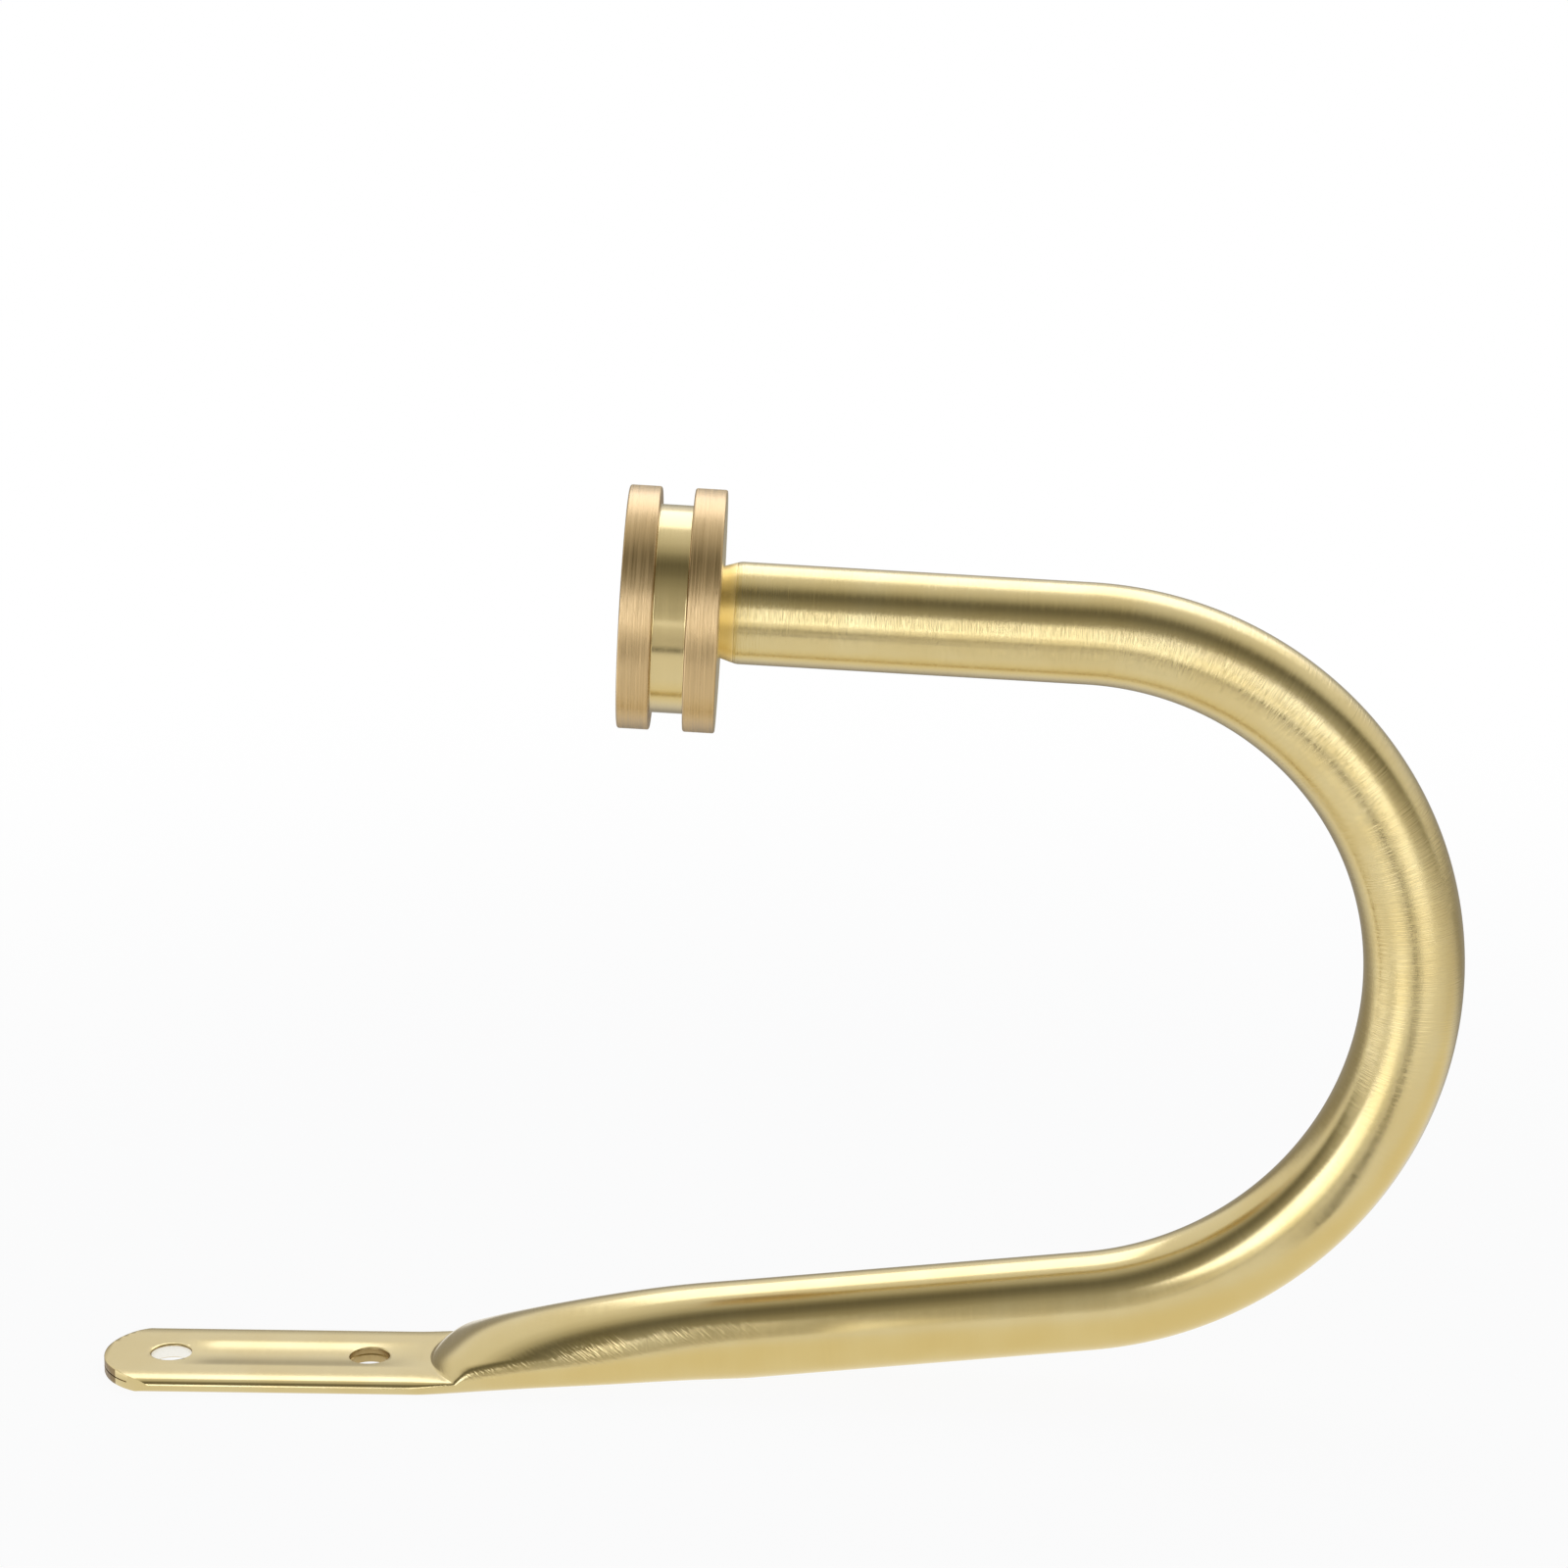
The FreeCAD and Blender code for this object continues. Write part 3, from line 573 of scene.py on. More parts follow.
@dataclass
class Hook:
    """The bent tube with its flattened, pierced tab."""

    radius: float = 8.0
    wall: float = 1.2
    bend_radius: float = 55.9
    tab_slope: float = 5.82
    finial_slope: float = 2.76
    lower_arm: float = 56.3
    upper_arm: float = 55.3
    tab_width: float = 22.8
    tab_thickness: float = 2.6
    tab_reach: float = 22.0
    tip_x: float = -27.15
    tip_radius: float = 11.8
    tip_break: float = 0.15
    tip_bare: float = 0.85
    tip_soft: float = 0.3
    hole_radius: float = 3.3
    hole_phase: float = 0.0137
    hole_skim: float = 0.01
    ledge_drop: float = 0.1
    holes: tuple[Hole, ...] = (Hole("first_hole", -16.25, 0.0, 3.3, 0.4, 0.6),
                               Hole("second_hole", 16.25, 0.6, 3.03, 0.25, 0.05))
    bare_height: float = 1.75
    channel_start: float = -16.5
    channel_end: float = 27.5
    channel_fade: float = 8.0
    channel_run_out: float = 13.0
    channel_half: float = 5.3
    channel_depth: float = 0.4
    channel_power: float = 1.5
    channel_stop: float = 0.05
    roll_start: float = 7.6
    roll_share: float = 0.32
    firm_start: float = 23.0
    firm_end: float = 32.0
    firm_share: float = 0.55
    seam_gap: float = 0.2
    seam_depth: float = 0.6
    seam_spread: float = 55.0
    crease_reach: float = 26.4
    crease_radius: float = 15.3
    crease_rise: float = 47.0
    crease_round: float = 0.25
    hold_back: float = 3.0
    nose_round: float = 0.6
    nose_share: float = 0.8
    round_place: float = 56.57
    flat_knots: Pair = (-16.0, -8.0)
    round_knots: Triple = (0.0, 10.0, 20.0)
    round_base: float = 8.0
    round_crown: float = 75.0
    mouth_lean: float = 1.0
    mouth_drop: float = 0.155
    void_height: float = 0.3
    void_side: float = 0.135
    stations: tuple[Station, ...] = (
        Station(9.4, 22.37, 5.98, 2.29), Station(20.0, 20.33, 9.88, 3.53),
        Station(34.0, 18.12, 12.93, 5.0), Station(47.5, 16.7, 15.05, 7.0))
    base_points: int = 8
    side_points: int = 36
    top_points: int = 96
    tab_rings: int = 54
    overrun: float = 3.0
    opening_steps: tuple[Pair, ...] = ((0.0, 0.5), (2.0, 0.15), (13.0, 0.8))
    lip_shares: tuple[float, ...] = (0.0, 0.2, 0.4, 0.6, 0.8, 1.0)
    outer_steps: Pair = (1.25, 5.0)
    inner_steps: Pair = (4.0, 28.0)
    cut_margin: float = 1.0
    cut_reach: float = 10.0
    trim_steps: int = 97
    seam_steps: int = 65
    hole_points: int = 96
    hole_steps: int = 9
    upright: float = 0.6
    near_hole: float = 0.1
    near_tip: float = 0.05
    obj: Object | None = field(default=None, init=False)

    def __post_init__(self) -> None:
        """Work out the places along the hook."""
        slope, rise = math.radians(self.tab_slope), math.radians(self.finial_slope)
        round_x = self.tab_reach + self.round_place
        self.arm_start = np.array([round_x - self.radius * math.sin(slope), 0.0,
                                   self.radius * math.cos(slope)])
        self.arm_way = np.array([math.cos(slope), 0.0, math.sin(slope)])
        self.arm_up = np.array([-math.sin(slope), 0.0, math.cos(slope)])
        self.bend_centre = (self.arm_start + self.lower_arm * self.arm_way
                            + self.bend_radius * self.arm_up)
        self.bend_low = slope - math.pi / 2
        self.bend_high = math.pi / 2 - rise
        self.bend_end = self.bend_centre + self.bend_radius * np.array([math.sin(rise), 0, math.cos(rise)])
        self.mouth_up = -np.array([math.cos(self.bend_high), 0.0, math.sin(self.bend_high)])
        self.mouth_way = np.array([-math.cos(rise), 0.0, math.sin(rise)])
        self.mouth = self.bend_end + self.upper_arm * self.mouth_way
        self.flat = self.section(self.tab_width, self.tab_thickness, self.tab_thickness / 2)

    def section(self, width: float, height: float, side: float) -> Array:
        """Draw a flattened section: flat base, round sides, crowned or flat top.

        Args:
            width: Overall width.
            height: Overall height.
            side: Radius of the sides.

        Returns:
            Points (y, height above the base).
        """
        flat, spare = width / 2 - side, height - 2 * side
        lean, top = 0.0, line_points((flat, height), (-flat, height), self.top_points)
        if spare > TINY:
            crown = height / 2 + flat**2 / (2 * spare)
            lean = math.degrees(math.asin(flat / (crown - side)))
            top = arc_points((0.0, height - crown), crown, 90 - lean, 90 + lean, self.top_points)
        points = line_points((-flat, 0.0), (flat, 0.0), self.base_points)
        points += arc_points((flat, side), side, -90, 90 - lean, self.side_points) + top
        return np.array(points + arc_points((-flat, side), side, 90 + lean, 270, self.side_points))

    def round_section(self, radius: float) -> Array:
        """Draw the round section, its points shared out like a flattened one's.

        Args:
            radius: Radius of the circle.

        Returns:
            Points (y, height above the tube's lowest line).
        """
        base, crown = self.round_base, self.round_crown
        turns = (-90 - base, -90 + base, 90 - crown, 90 + crown, 270 - base)
        counts = (self.base_points, self.side_points, self.top_points, self.side_points)
        points = []
        for start, end, count in zip(turns, turns[1:], counts):
            points += arc_points((0.0, self.radius), radius, start, end, count)
        return np.array(points)

    def stand(self, section: Array, place: float, lift: float = 0.0) -> Array:
        """Stand a section at its place along the flattened end.

        Args:
            section: Points (y, height).
            place: Distance from the start of opening.
            lift: Height of the section's base above the wall face.

        Returns:
            Points in the part's frame.
        """
        tilt = math.radians(self.tab_slope) * np.clip(place / self.round_place, 0.0, 1.0)
        height = section[:, 1] + lift
        along = max(place - self.round_place, 0.0)
        x = self.tab_reach + min(place, self.round_place) - height * math.sin(tilt)
        return np.stack([x + along * self.arm_way[0], section[:, 0],
                         height * math.cos(tilt) + along * self.arm_way[2]], axis=1)

    def opening(self, places: Array) -> Array:
        """Run smoothly from the tab's section to the round tube.

        Args:
            places: Distances from the start of opening.

        Returns:
            One ring of points per place.
        """
        circle = self.round_section(self.radius)
        drawn = [(place, self.flat) for place in (*self.flat_knots, self.hold_back)]
        drawn += [(station.place, self.section(station.width, station.height, station.side))
                  for station in self.stations]
        drawn += [(self.round_place + extra, circle) for extra in self.round_knots]
        knots = np.array([place for place, _ in drawn])
        opened = natural_spline(
            knots, np.array([self.stand(section, place) for place, section in drawn]), places)
        still = np.array([self.stand(self.flat, place) for place in places])
        return np.where((places <= self.hold_back)[:, None, None], still, opened)

    def press(self, rings: Array) -> Array:
        """Press the tab's top flat up to the crease, and its channel into it.

        Args:
            rings: Rings of the tab and the flattened end.

        Returns:
            The pressed rings.
        """
        x, y, z = rings[..., 0], rings[..., 1], rings[..., 2]
        wide, edge = np.abs(y), self.crease_round
        centre = self.crease_reach + self.crease_radius
        inside = self.crease_radius - np.hypot(x - centre, y)
        inside = np.where(x > centre, self.crease_radius, inside)
        rise = math.tan(math.radians(self.crease_rise))
        above = 0.5 * (inside + np.sqrt(inside**2 + edge**2)) * rise
        above = np.maximum(above - 0.5 * edge * rise * np.exp(-(inside / (2 * edge))**2), 0.0)
        half, middle = wide.max(axis=-1, keepdims=True), self.tab_thickness / 2
        rim = middle * (1.0 - self.firm_share * smooth_step(self.firm_start, self.firm_end, x))
        curve = np.sqrt(rim**2 - np.clip(wide - half + rim, 0.0, rim)**2)
        roll = np.clip((wide - self.roll_start) / (half - self.roll_start), 0.0, 1.0)
        wall = self.tab_thickness - rim + curve * (1.0 - self.roll_share * roll**2) + above
        lower = soft_min(z, wall, np.minimum(self.nose_round, self.nose_share * above))
        top = z > middle
        z = np.where(top, np.minimum(z, lower), z)
        ends = smooth_step(self.channel_start, self.channel_start + self.channel_fade, x)
        ends *= 1.0 - smooth_step(self.channel_end - self.channel_run_out, self.channel_end, x)
        bowl = np.clip(1.0 - (y / self.channel_half)**2, 0.0, 1.0)**self.channel_power
        z = np.where(top & (above < self.channel_stop), z - self.channel_depth * bowl * ends, z)
        return np.stack([x, y, np.maximum(z, 0.0)], axis=-1)

    def ring(self, section: Array, centre: Array, up: Array) -> Array:
        """Set points (y, height above the tube's lowest line) round a point of its centre line."""
        return centre + np.outer(section[:, 1] - self.radius, up) + np.outer(section[:, 0], SIDEWAYS)

    def along_tube(self, section: Array, steps: Pair) -> Array:
        """Carry a section along the lower arm, the bend and the upper arm.

        Args:
            section: Points (y, height above the tube's lowest line).
            steps: Spacing of the rings in the bend, degrees, and along the arms.

        Returns:
            Rings from just past the flattened end to the mouth.
        """
        bend_step, arm_step = steps
        places = [(self.arm_start + step * self.arm_way, self.arm_up) for step
                  in np.linspace(0, self.lower_arm, round(self.lower_arm / arm_step) + 1)[1:-1]]
        turns = round(math.degrees(self.bend_high - self.bend_low) / bend_step) + 1
        for angle in np.linspace(self.bend_low, self.bend_high, turns):
            spoke = np.array([math.cos(angle), 0.0, math.sin(angle)])
            places.append((self.bend_centre + self.bend_radius * spoke, -spoke))
        places += [(self.bend_end + step * self.mouth_way, self.mouth_up) for step
                   in np.linspace(0, self.upper_arm, round(self.upper_arm / arm_step) + 1)[1:]]
        return np.array([self.ring(section, centre, up) for centre, up in places])

    def inside(self) -> Array:
        """Line the hollow, from the mouth back to where it closes.

        Returns:
            Rings from the mouth to the end of the hollow.
        """
        wall, bore = self.wall, self.round_section(self.radius - self.wall)
        back = [self.stand(bore, self.round_place)]
        for station in reversed(self.stations[1:]):
            hollow = self.section(station.width - 2 * wall, station.height - 2 * wall, station.side - wall)
            back.append(self.stand(hollow, station.place, wall))
        first = self.stations[0]
        thin = self.section(first.width - 2 * first.side, self.void_height, self.void_side)
        back.append(self.stand(thin, first.place, wall))
        return np.concatenate([self.along_tube(bore, self.inner_steps)[::-1], np.array(back)])

    def cutters(self) -> list[Object]:
        """Make the solids that pierce the holes, trim the tip and open its seam.

        Returns:
            The cutting solids.
        """
        thick, rim, edge = self.tab_thickness, self.tip_radius, self.tip_break
        far, over, inner = rim + self.cut_reach, thick + self.cut_margin, rim - self.seam_depth
        soft, low, high = self.tip_soft * edge, thick / 2 - self.seam_gap / 2, thick / 2 + self.seam_gap / 2
        trim = [(rim - edge, -self.cut_margin), (rim - edge, 0.0), (rim - soft, soft), (rim, edge),
                (rim, thick - edge), (rim - soft, thick - soft), (rim - edge, thick), (rim - edge, over),
                (far, over), (far, -self.cut_margin)]
        slot = [(inner, low), (far, low), (far, high), (inner, high)]
        opened = np.linspace(180.0 - self.seam_spread, 180.0 + self.seam_spread, self.seam_steps)
        return [self.hole_cutter(hole) for hole in self.holes] + [
            self.tip_cutter("tip_trim", trim, np.linspace(90.0, 270.0, self.trim_steps)),
            self.tip_cutter("seam_slot", slot, opened)]

    def tip_cutter(self, name: str, profile: list[Pair], angles: Array) -> Object:
        """Sweep a profile of points (radius, height) round the tip's centre, at angles in degrees."""
        swept = lathe([(height, radius) for radius, height in profile], np.radians(angles))
        return ring_mesh(name, swept[..., [1, 2, 0]] + [self.tip_x + self.tip_radius, 0.0, 0.0])

    def hole_cutter(self, hole: Hole) -> Object:
        """Make a punch with flared ends, which leaves rounded lips.

        Args:
            hole: The hole that it leaves.

        Returns:
            The closed solid.
        """
        radius, skim, middle = self.hole_radius, self.hole_skim, self.tab_thickness / 2
        top = self.tab_thickness - hole.sink * self.channel_depth
        inner, lip, foot = hole.inner, hole.lip, hole.foot
        turns = [(math.cos(a), math.sin(a)) for a in np.radians(np.linspace(0, 90, self.hole_steps))]
        upper = [(radius + lip - lip * c, top + skim - lip + lip * s) for c, s in turns]
        lower = [(inner + foot - foot * c, foot - skim - foot * s) for c, s in reversed(turns)]
        ledge = [(inner, middle - self.ledge_drop), (radius, middle)] if inner < radius else []
        levels = [(inner + foot, -self.cut_margin), *lower, *ledge, *upper,
                  (radius + lip, top + self.cut_margin)]
        around = np.linspace(0, 2 * math.pi, self.hole_points, endpoint=False) + self.hole_phase
        rings = np.array([[(hole.x + r * math.cos(a), r * math.sin(a), z) for a in around]
                          for r, z in levels])
        return ring_mesh(hole.name, rings)

    def unbend(self, points: Array) -> Array:
        """Straighten points of the tube.

        Args:
            points: Points in the part's frame.

        Returns:
            Distance along the tube, sideways place and height over its centre line.
        """
        spokes = points - self.bend_centre
        angle = np.arctan2(spokes[:, 2], spokes[:, 0])
        in_bend = (angle >= self.bend_low) & (angle <= self.bend_high)
        on_top = ~in_bend & (points[:, 2] > self.bend_centre[2])
        from_start, from_end = points - self.arm_start, points - self.bend_end
        bend_length = self.bend_radius * (self.bend_high - self.bend_low)
        cases = [in_bend, on_top]
        along = np.select(cases, [self.lower_arm + self.bend_radius * (angle - self.bend_low),
                                  self.lower_arm + bend_length + from_end @ self.mouth_way],
                          from_start @ self.arm_way)
        height = np.select(cases, [self.bend_radius - np.hypot(spokes[:, 0], spokes[:, 2]),
                                   from_end @ self.mouth_up], from_start @ self.arm_up)
        return np.stack([along, points[:, 1], height], axis=1)

    def build(self) -> None:
        """Make the mesh."""
        start = self.tip_x - self.overrun - self.tab_reach
        tab = np.array([np.column_stack([np.full(len(self.flat), self.tab_reach + place), self.flat])
                        for place in np.linspace(start, 0.0, self.tab_rings)[:-1]])
        ends = [start for start, _ in self.opening_steps[1:]] + [self.round_place]
        places = [np.arange(start, stop, step) for (start, step), stop in zip(self.opening_steps, ends)]
        places = np.concatenate([*places, [self.round_place]])
        end = self.press(np.concatenate([tab, self.opening(places)]))
        tube = self.along_tube(self.round_section(self.radius), self.outer_steps)
        lips = [self.ring(self.round_section(self.radius - self.mouth_drop * share**2), self.mouth,
                          self.mouth_up) - self.mouth_lean * (1.0 - share) * self.mouth_way
                for share in self.lip_shares]
        self.obj = ring_mesh("hook", np.concatenate([end, tube[:-1], lips, self.inside()]))
        carve(self.obj, self.cutters())
        smooth(self.obj, self.unbend, SHARP_ANGLE)

    def face_finish(self, face: bpy.types.MeshPolygon) -> int:
        """Choose a face's finish.

        Args:
            face: A face of the finished mesh.

        Returns:
            0 for the tube, 1 for the cut tip, 2 for a hole, 3 for the first hole's bare foot.
        """
        x, y, z = (value / MM for value in face.center)
        if abs(face.normal.z) >= self.upright or z >= self.tab_thickness + self.near_hole:
            return 0
        if math.hypot(abs(x) - self.holes[1].x, y) < self.hole_radius + self.near_hole:
            return 3 if x < 0.0 and z < self.bare_height else 2
        tip = self.tip_x + self.tip_radius
        cut = math.hypot(x - tip, y) > self.tip_radius - self.seam_depth - self.near_tip
        return int(cut and abs(y) < self.tip_bare * (tip - x))

    def dress(self, *finishes: Material) -> None:
        """Put on the finishes of the tube, the tip and the holes, and hand the piece over.

        Args:
            finishes: The finishes in the order of face_finish.
        """
        register(self.obj, "hook_tube", finishes)
        for face in self.obj.data.polygons:
            face.material_index = self.face_finish(face)


# The turned pieces


@dataclass
class Turned:
    """A piece turned about the axis of the upper arm, drawn from the tube's mouth outwards."""

    name: str
    node: str
    slot: Slot
    hook: Hook
    around: int = 256
    closed: bool = True
    sharp_angle: float = SHARP_ANGLE
    obj: Object | None = field(default=None, init=False)

    def __post_init__(self) -> None:
        """Work out the piece's own axes."""
        way = self.hook.mouth_way
        self.axes = np.stack([way, SIDEWAYS, np.cross(way, SIDEWAYS)])
        self.angles = np.linspace(0.0, 2 * math.pi, self.around, endpoint=False)

    def profile(self) -> list[Pair]:
        """List the closed profile as (distance out of the mouth, radius)."""
        raise NotImplementedError

    def rings(self) -> Array:
        """Turn the profile about the piece's own axis."""
        return lathe(self.profile(), self.angles)

    def build(self) -> None:
        """Make the mesh on the arm's axis."""
        self.obj = ring_mesh(self.name, self.hook.mouth + self.rings() @ self.axes, self.closed)
        smooth(self.obj, self.grain, self.sharp_angle)

    def grain(self, points: Array) -> Array:
        """Find where points lie across and along the turning lines.

        Args:
            points: Points in the part's frame.

        Returns:
            Distance across the lines, and two places along them.
        """
        along, sideways, up = ((points - self.hook.mouth) @ self.axes.T).T
        return np.stack([along + np.hypot(sideways, up), sideways, up], axis=1)

    def dress(self, *finishes: Material) -> None:
        """Put on the finishes and hand the piece over."""
        register(self.obj, self.node, finishes)


@dataclass
class Finial(Turned):
    """The grooved finial: two brushed discs and a smooth hub between them."""

    start: float = 2.2
    disc: float = 5.0
    groove: float = 5.2
    rim: float = 19.0
    hub: float = 16.25
    edge: float = 0.35
    corner: float = 0.2
    hold: float = 0.03
    hole: float = 3.0
    hole_depth: float = 9.0
    face_rings: Pair = (10.0, 16.0)
    edge_steps: int = 9
    corner_steps: int = 6
    pole: float = 0.02
    skin: float = 0.01

    def round_edge(self, x: float, side: float) -> list[Pair]:
        """Round an outer corner of a disc.

        Args:
            x: Place of the face beside the corner.
            side: 1 for a back edge, -1 for a front one.

        Returns:
            Points of the arc, held by a point on either side of it.
        """
        first = 135.0 + 45.0 * side
        angles = np.radians(np.linspace(first, first - 90.0, self.edge_steps))
        centre, level = x + side * self.edge, self.rim - self.edge
        arc = [(centre + self.edge * math.cos(a), level + self.edge * math.sin(a)) for a in angles]
        on_face, on_rim = (x, level - self.hold), (centre + side * self.hold, self.rim)
        return [on_face, *arc, on_rim] if side > 0 else [on_rim, *arc, on_face]

    def profile(self) -> list[Pair]:
        """List the closed profile.

        Returns:
            Points (distance out of the mouth, radius).
        """
        back, hub, hold = self.start, self.hub, self.corner + self.hold
        low, high = back + self.disc, back + self.disc + self.groove
        front, end = high + self.disc, back + self.hole_depth
        fillet = [(self.corner * (1 - math.cos(a)), self.corner * (1 - math.sin(a)))
                  for a in np.radians(np.linspace(0.0, 90.0, self.corner_steps))]
        points = [(end, self.pole), (end, self.hole), (back, self.hole)]
        points += [(back, ring) for ring in self.face_rings]
        points += self.round_edge(back, 1.0) + self.round_edge(low, -1.0)
        points += [(low, hub + hold), *((low + x, hub + r) for x, r in fillet), (low + hold, hub)]
        points += [(high - hold, hub), *((high - x, hub + r) for x, r in reversed(fillet))]
        points += [(high, hub + hold)] + self.round_edge(high, 1.0) + self.round_edge(front, -1.0)
        points += [(front, ring) for ring in reversed(self.face_rings)]
        return points + [(front, self.hole), (front, self.pole)]

    def dress(self, *finishes: Material) -> None:
        """Put on the finishes of the discs, the groove and the back, and hand the piece over.

        Args:
            finishes: Finish of the discs, the groove and the back face; the back face's is brass lightened
                as painted light, which the collar reflects.
        """
        super().dress(*finishes)
        low, skin = self.start + self.disc, self.skin
        for face in self.obj.data.polygons:
            along, sideways, up = self.axes @ (np.array(face.center) / MM - self.hook.mouth)
            in_groove = (low + skin < along < low + self.groove - skin
                         and math.hypot(sideways, up) < self.hub + self.corner)
            # Number 2, the back face, takes the lightened brass: painted light for the collar to reflect.
            face.material_index = 1 if in_groove else 2 if along < self.start + skin else 0


@dataclass
class EndInsert(Turned):
    """The threaded plug whose cone closes the tube's mouth."""

    collar: float = 2.2
    small_radius: float = 7.15
    spigot: float = 14.0
    spigot_radius: float = 6.75
    hole: float = 3.0
    edge: float = 0.03
    land: float = 0.1

    def profile(self) -> list[Pair]:
        """List the closed profile.

        Returns:
            Points (distance out of the mouth, radius).
        """
        wide, edge = self.hook.radius - self.hook.mouth_drop, self.edge
        return [(-self.spigot, self.hole), (-self.spigot, self.spigot_radius), (0.0, self.spigot_radius),
                (0.0, wide - 2 * edge), (edge, wide - edge), (self.land, wide - edge),
                (self.collar / 2, (wide + self.small_radius) / 2), (self.collar, self.small_radius),
                (self.collar, self.hole), (0.0, self.hole)]


@dataclass
class Stud(Turned):
    """The threaded stud inside the insert and the finial."""

    tail: float = -7.8
    head: float = 10.2
    crest: float = 2.95
    root: float = 2.4
    root_flat: float = 0.12
    flank: float = 0.76
    pitch: float = 1.0
    steps: int = 8
    chamfer: float = 0.6
    around: int = 48
    closed: bool = False
    sharp_angle: float = 40.0

    def rings(self) -> Array:
        """Wind the thread round the stud.

        Returns:
            Rings of points with the axis along X.
        """
        levels = np.arange(self.tail, self.head + TINY, self.pitch / self.steps)[:, None]
        phase = (levels / self.pitch + self.angles / (2 * math.pi)) % 1.0
        ridge = 1.0 - np.abs(2.0 * phase - 1.0)
        depth = np.clip((ridge - self.root_flat) / self.flank, 0.0, 1.0)
        reach = self.root + (self.crest - self.root) * depth
        ends = np.clip(np.minimum(levels - self.tail, self.head - levels), 0.0, self.chamfer)
        reach = np.minimum(reach, self.crest - self.chamfer + ends)
        return np.stack([levels + 0.0 * reach, reach * np.cos(self.angles), reach * np.sin(self.angles)],
                        axis=-1)


# Studio and camera


@dataclass(frozen=True)
class Panel:
    """A soft light: where it stands, what it faces, its size in metres and its brightness."""

    name: str
    place: Triple
    target: Triple
    size: Pair
    radiance: float
    tint: Triple = (0.95, 1.0, 1.2)

    def build(self) -> None:
        """Hang the light."""
        lamp = bpy.data.lights.new(self.name, "AREA")
        lamp.shape = "RECTANGLE"
        lamp.size, lamp.size_y = self.size
        lamp.color = self.tint
        lamp.energy = self.radiance * math.pi * self.size[0] * self.size[1]
        obj = bpy.data.objects.new(self.name, lamp)
        obj.location = self.place
        way = Vector(self.target) - Vector(self.place)
        obj.rotation_euler = way.to_track_quat("-Z", "Y").to_euler()
        obj.visible_camera = False
        bpy.context.scene.collection.objects.link(obj)


@dataclass(frozen=True)
class Zone:
    """A stretch that reflections see in another colour, by ramps (axis, start, where it is full)."""

    colour: Triple
    ramps: tuple[tuple[str, float, float], ...]

    def mask(self, nodes: Nodes, place: bpy.types.NodeOutputs) -> Socket:
        """Multiply the zone's ramps over the coordinates of a place."""
        return nodes.times(*(nodes.remap(place[axis], start, full) for axis, start, full in self.ramps))


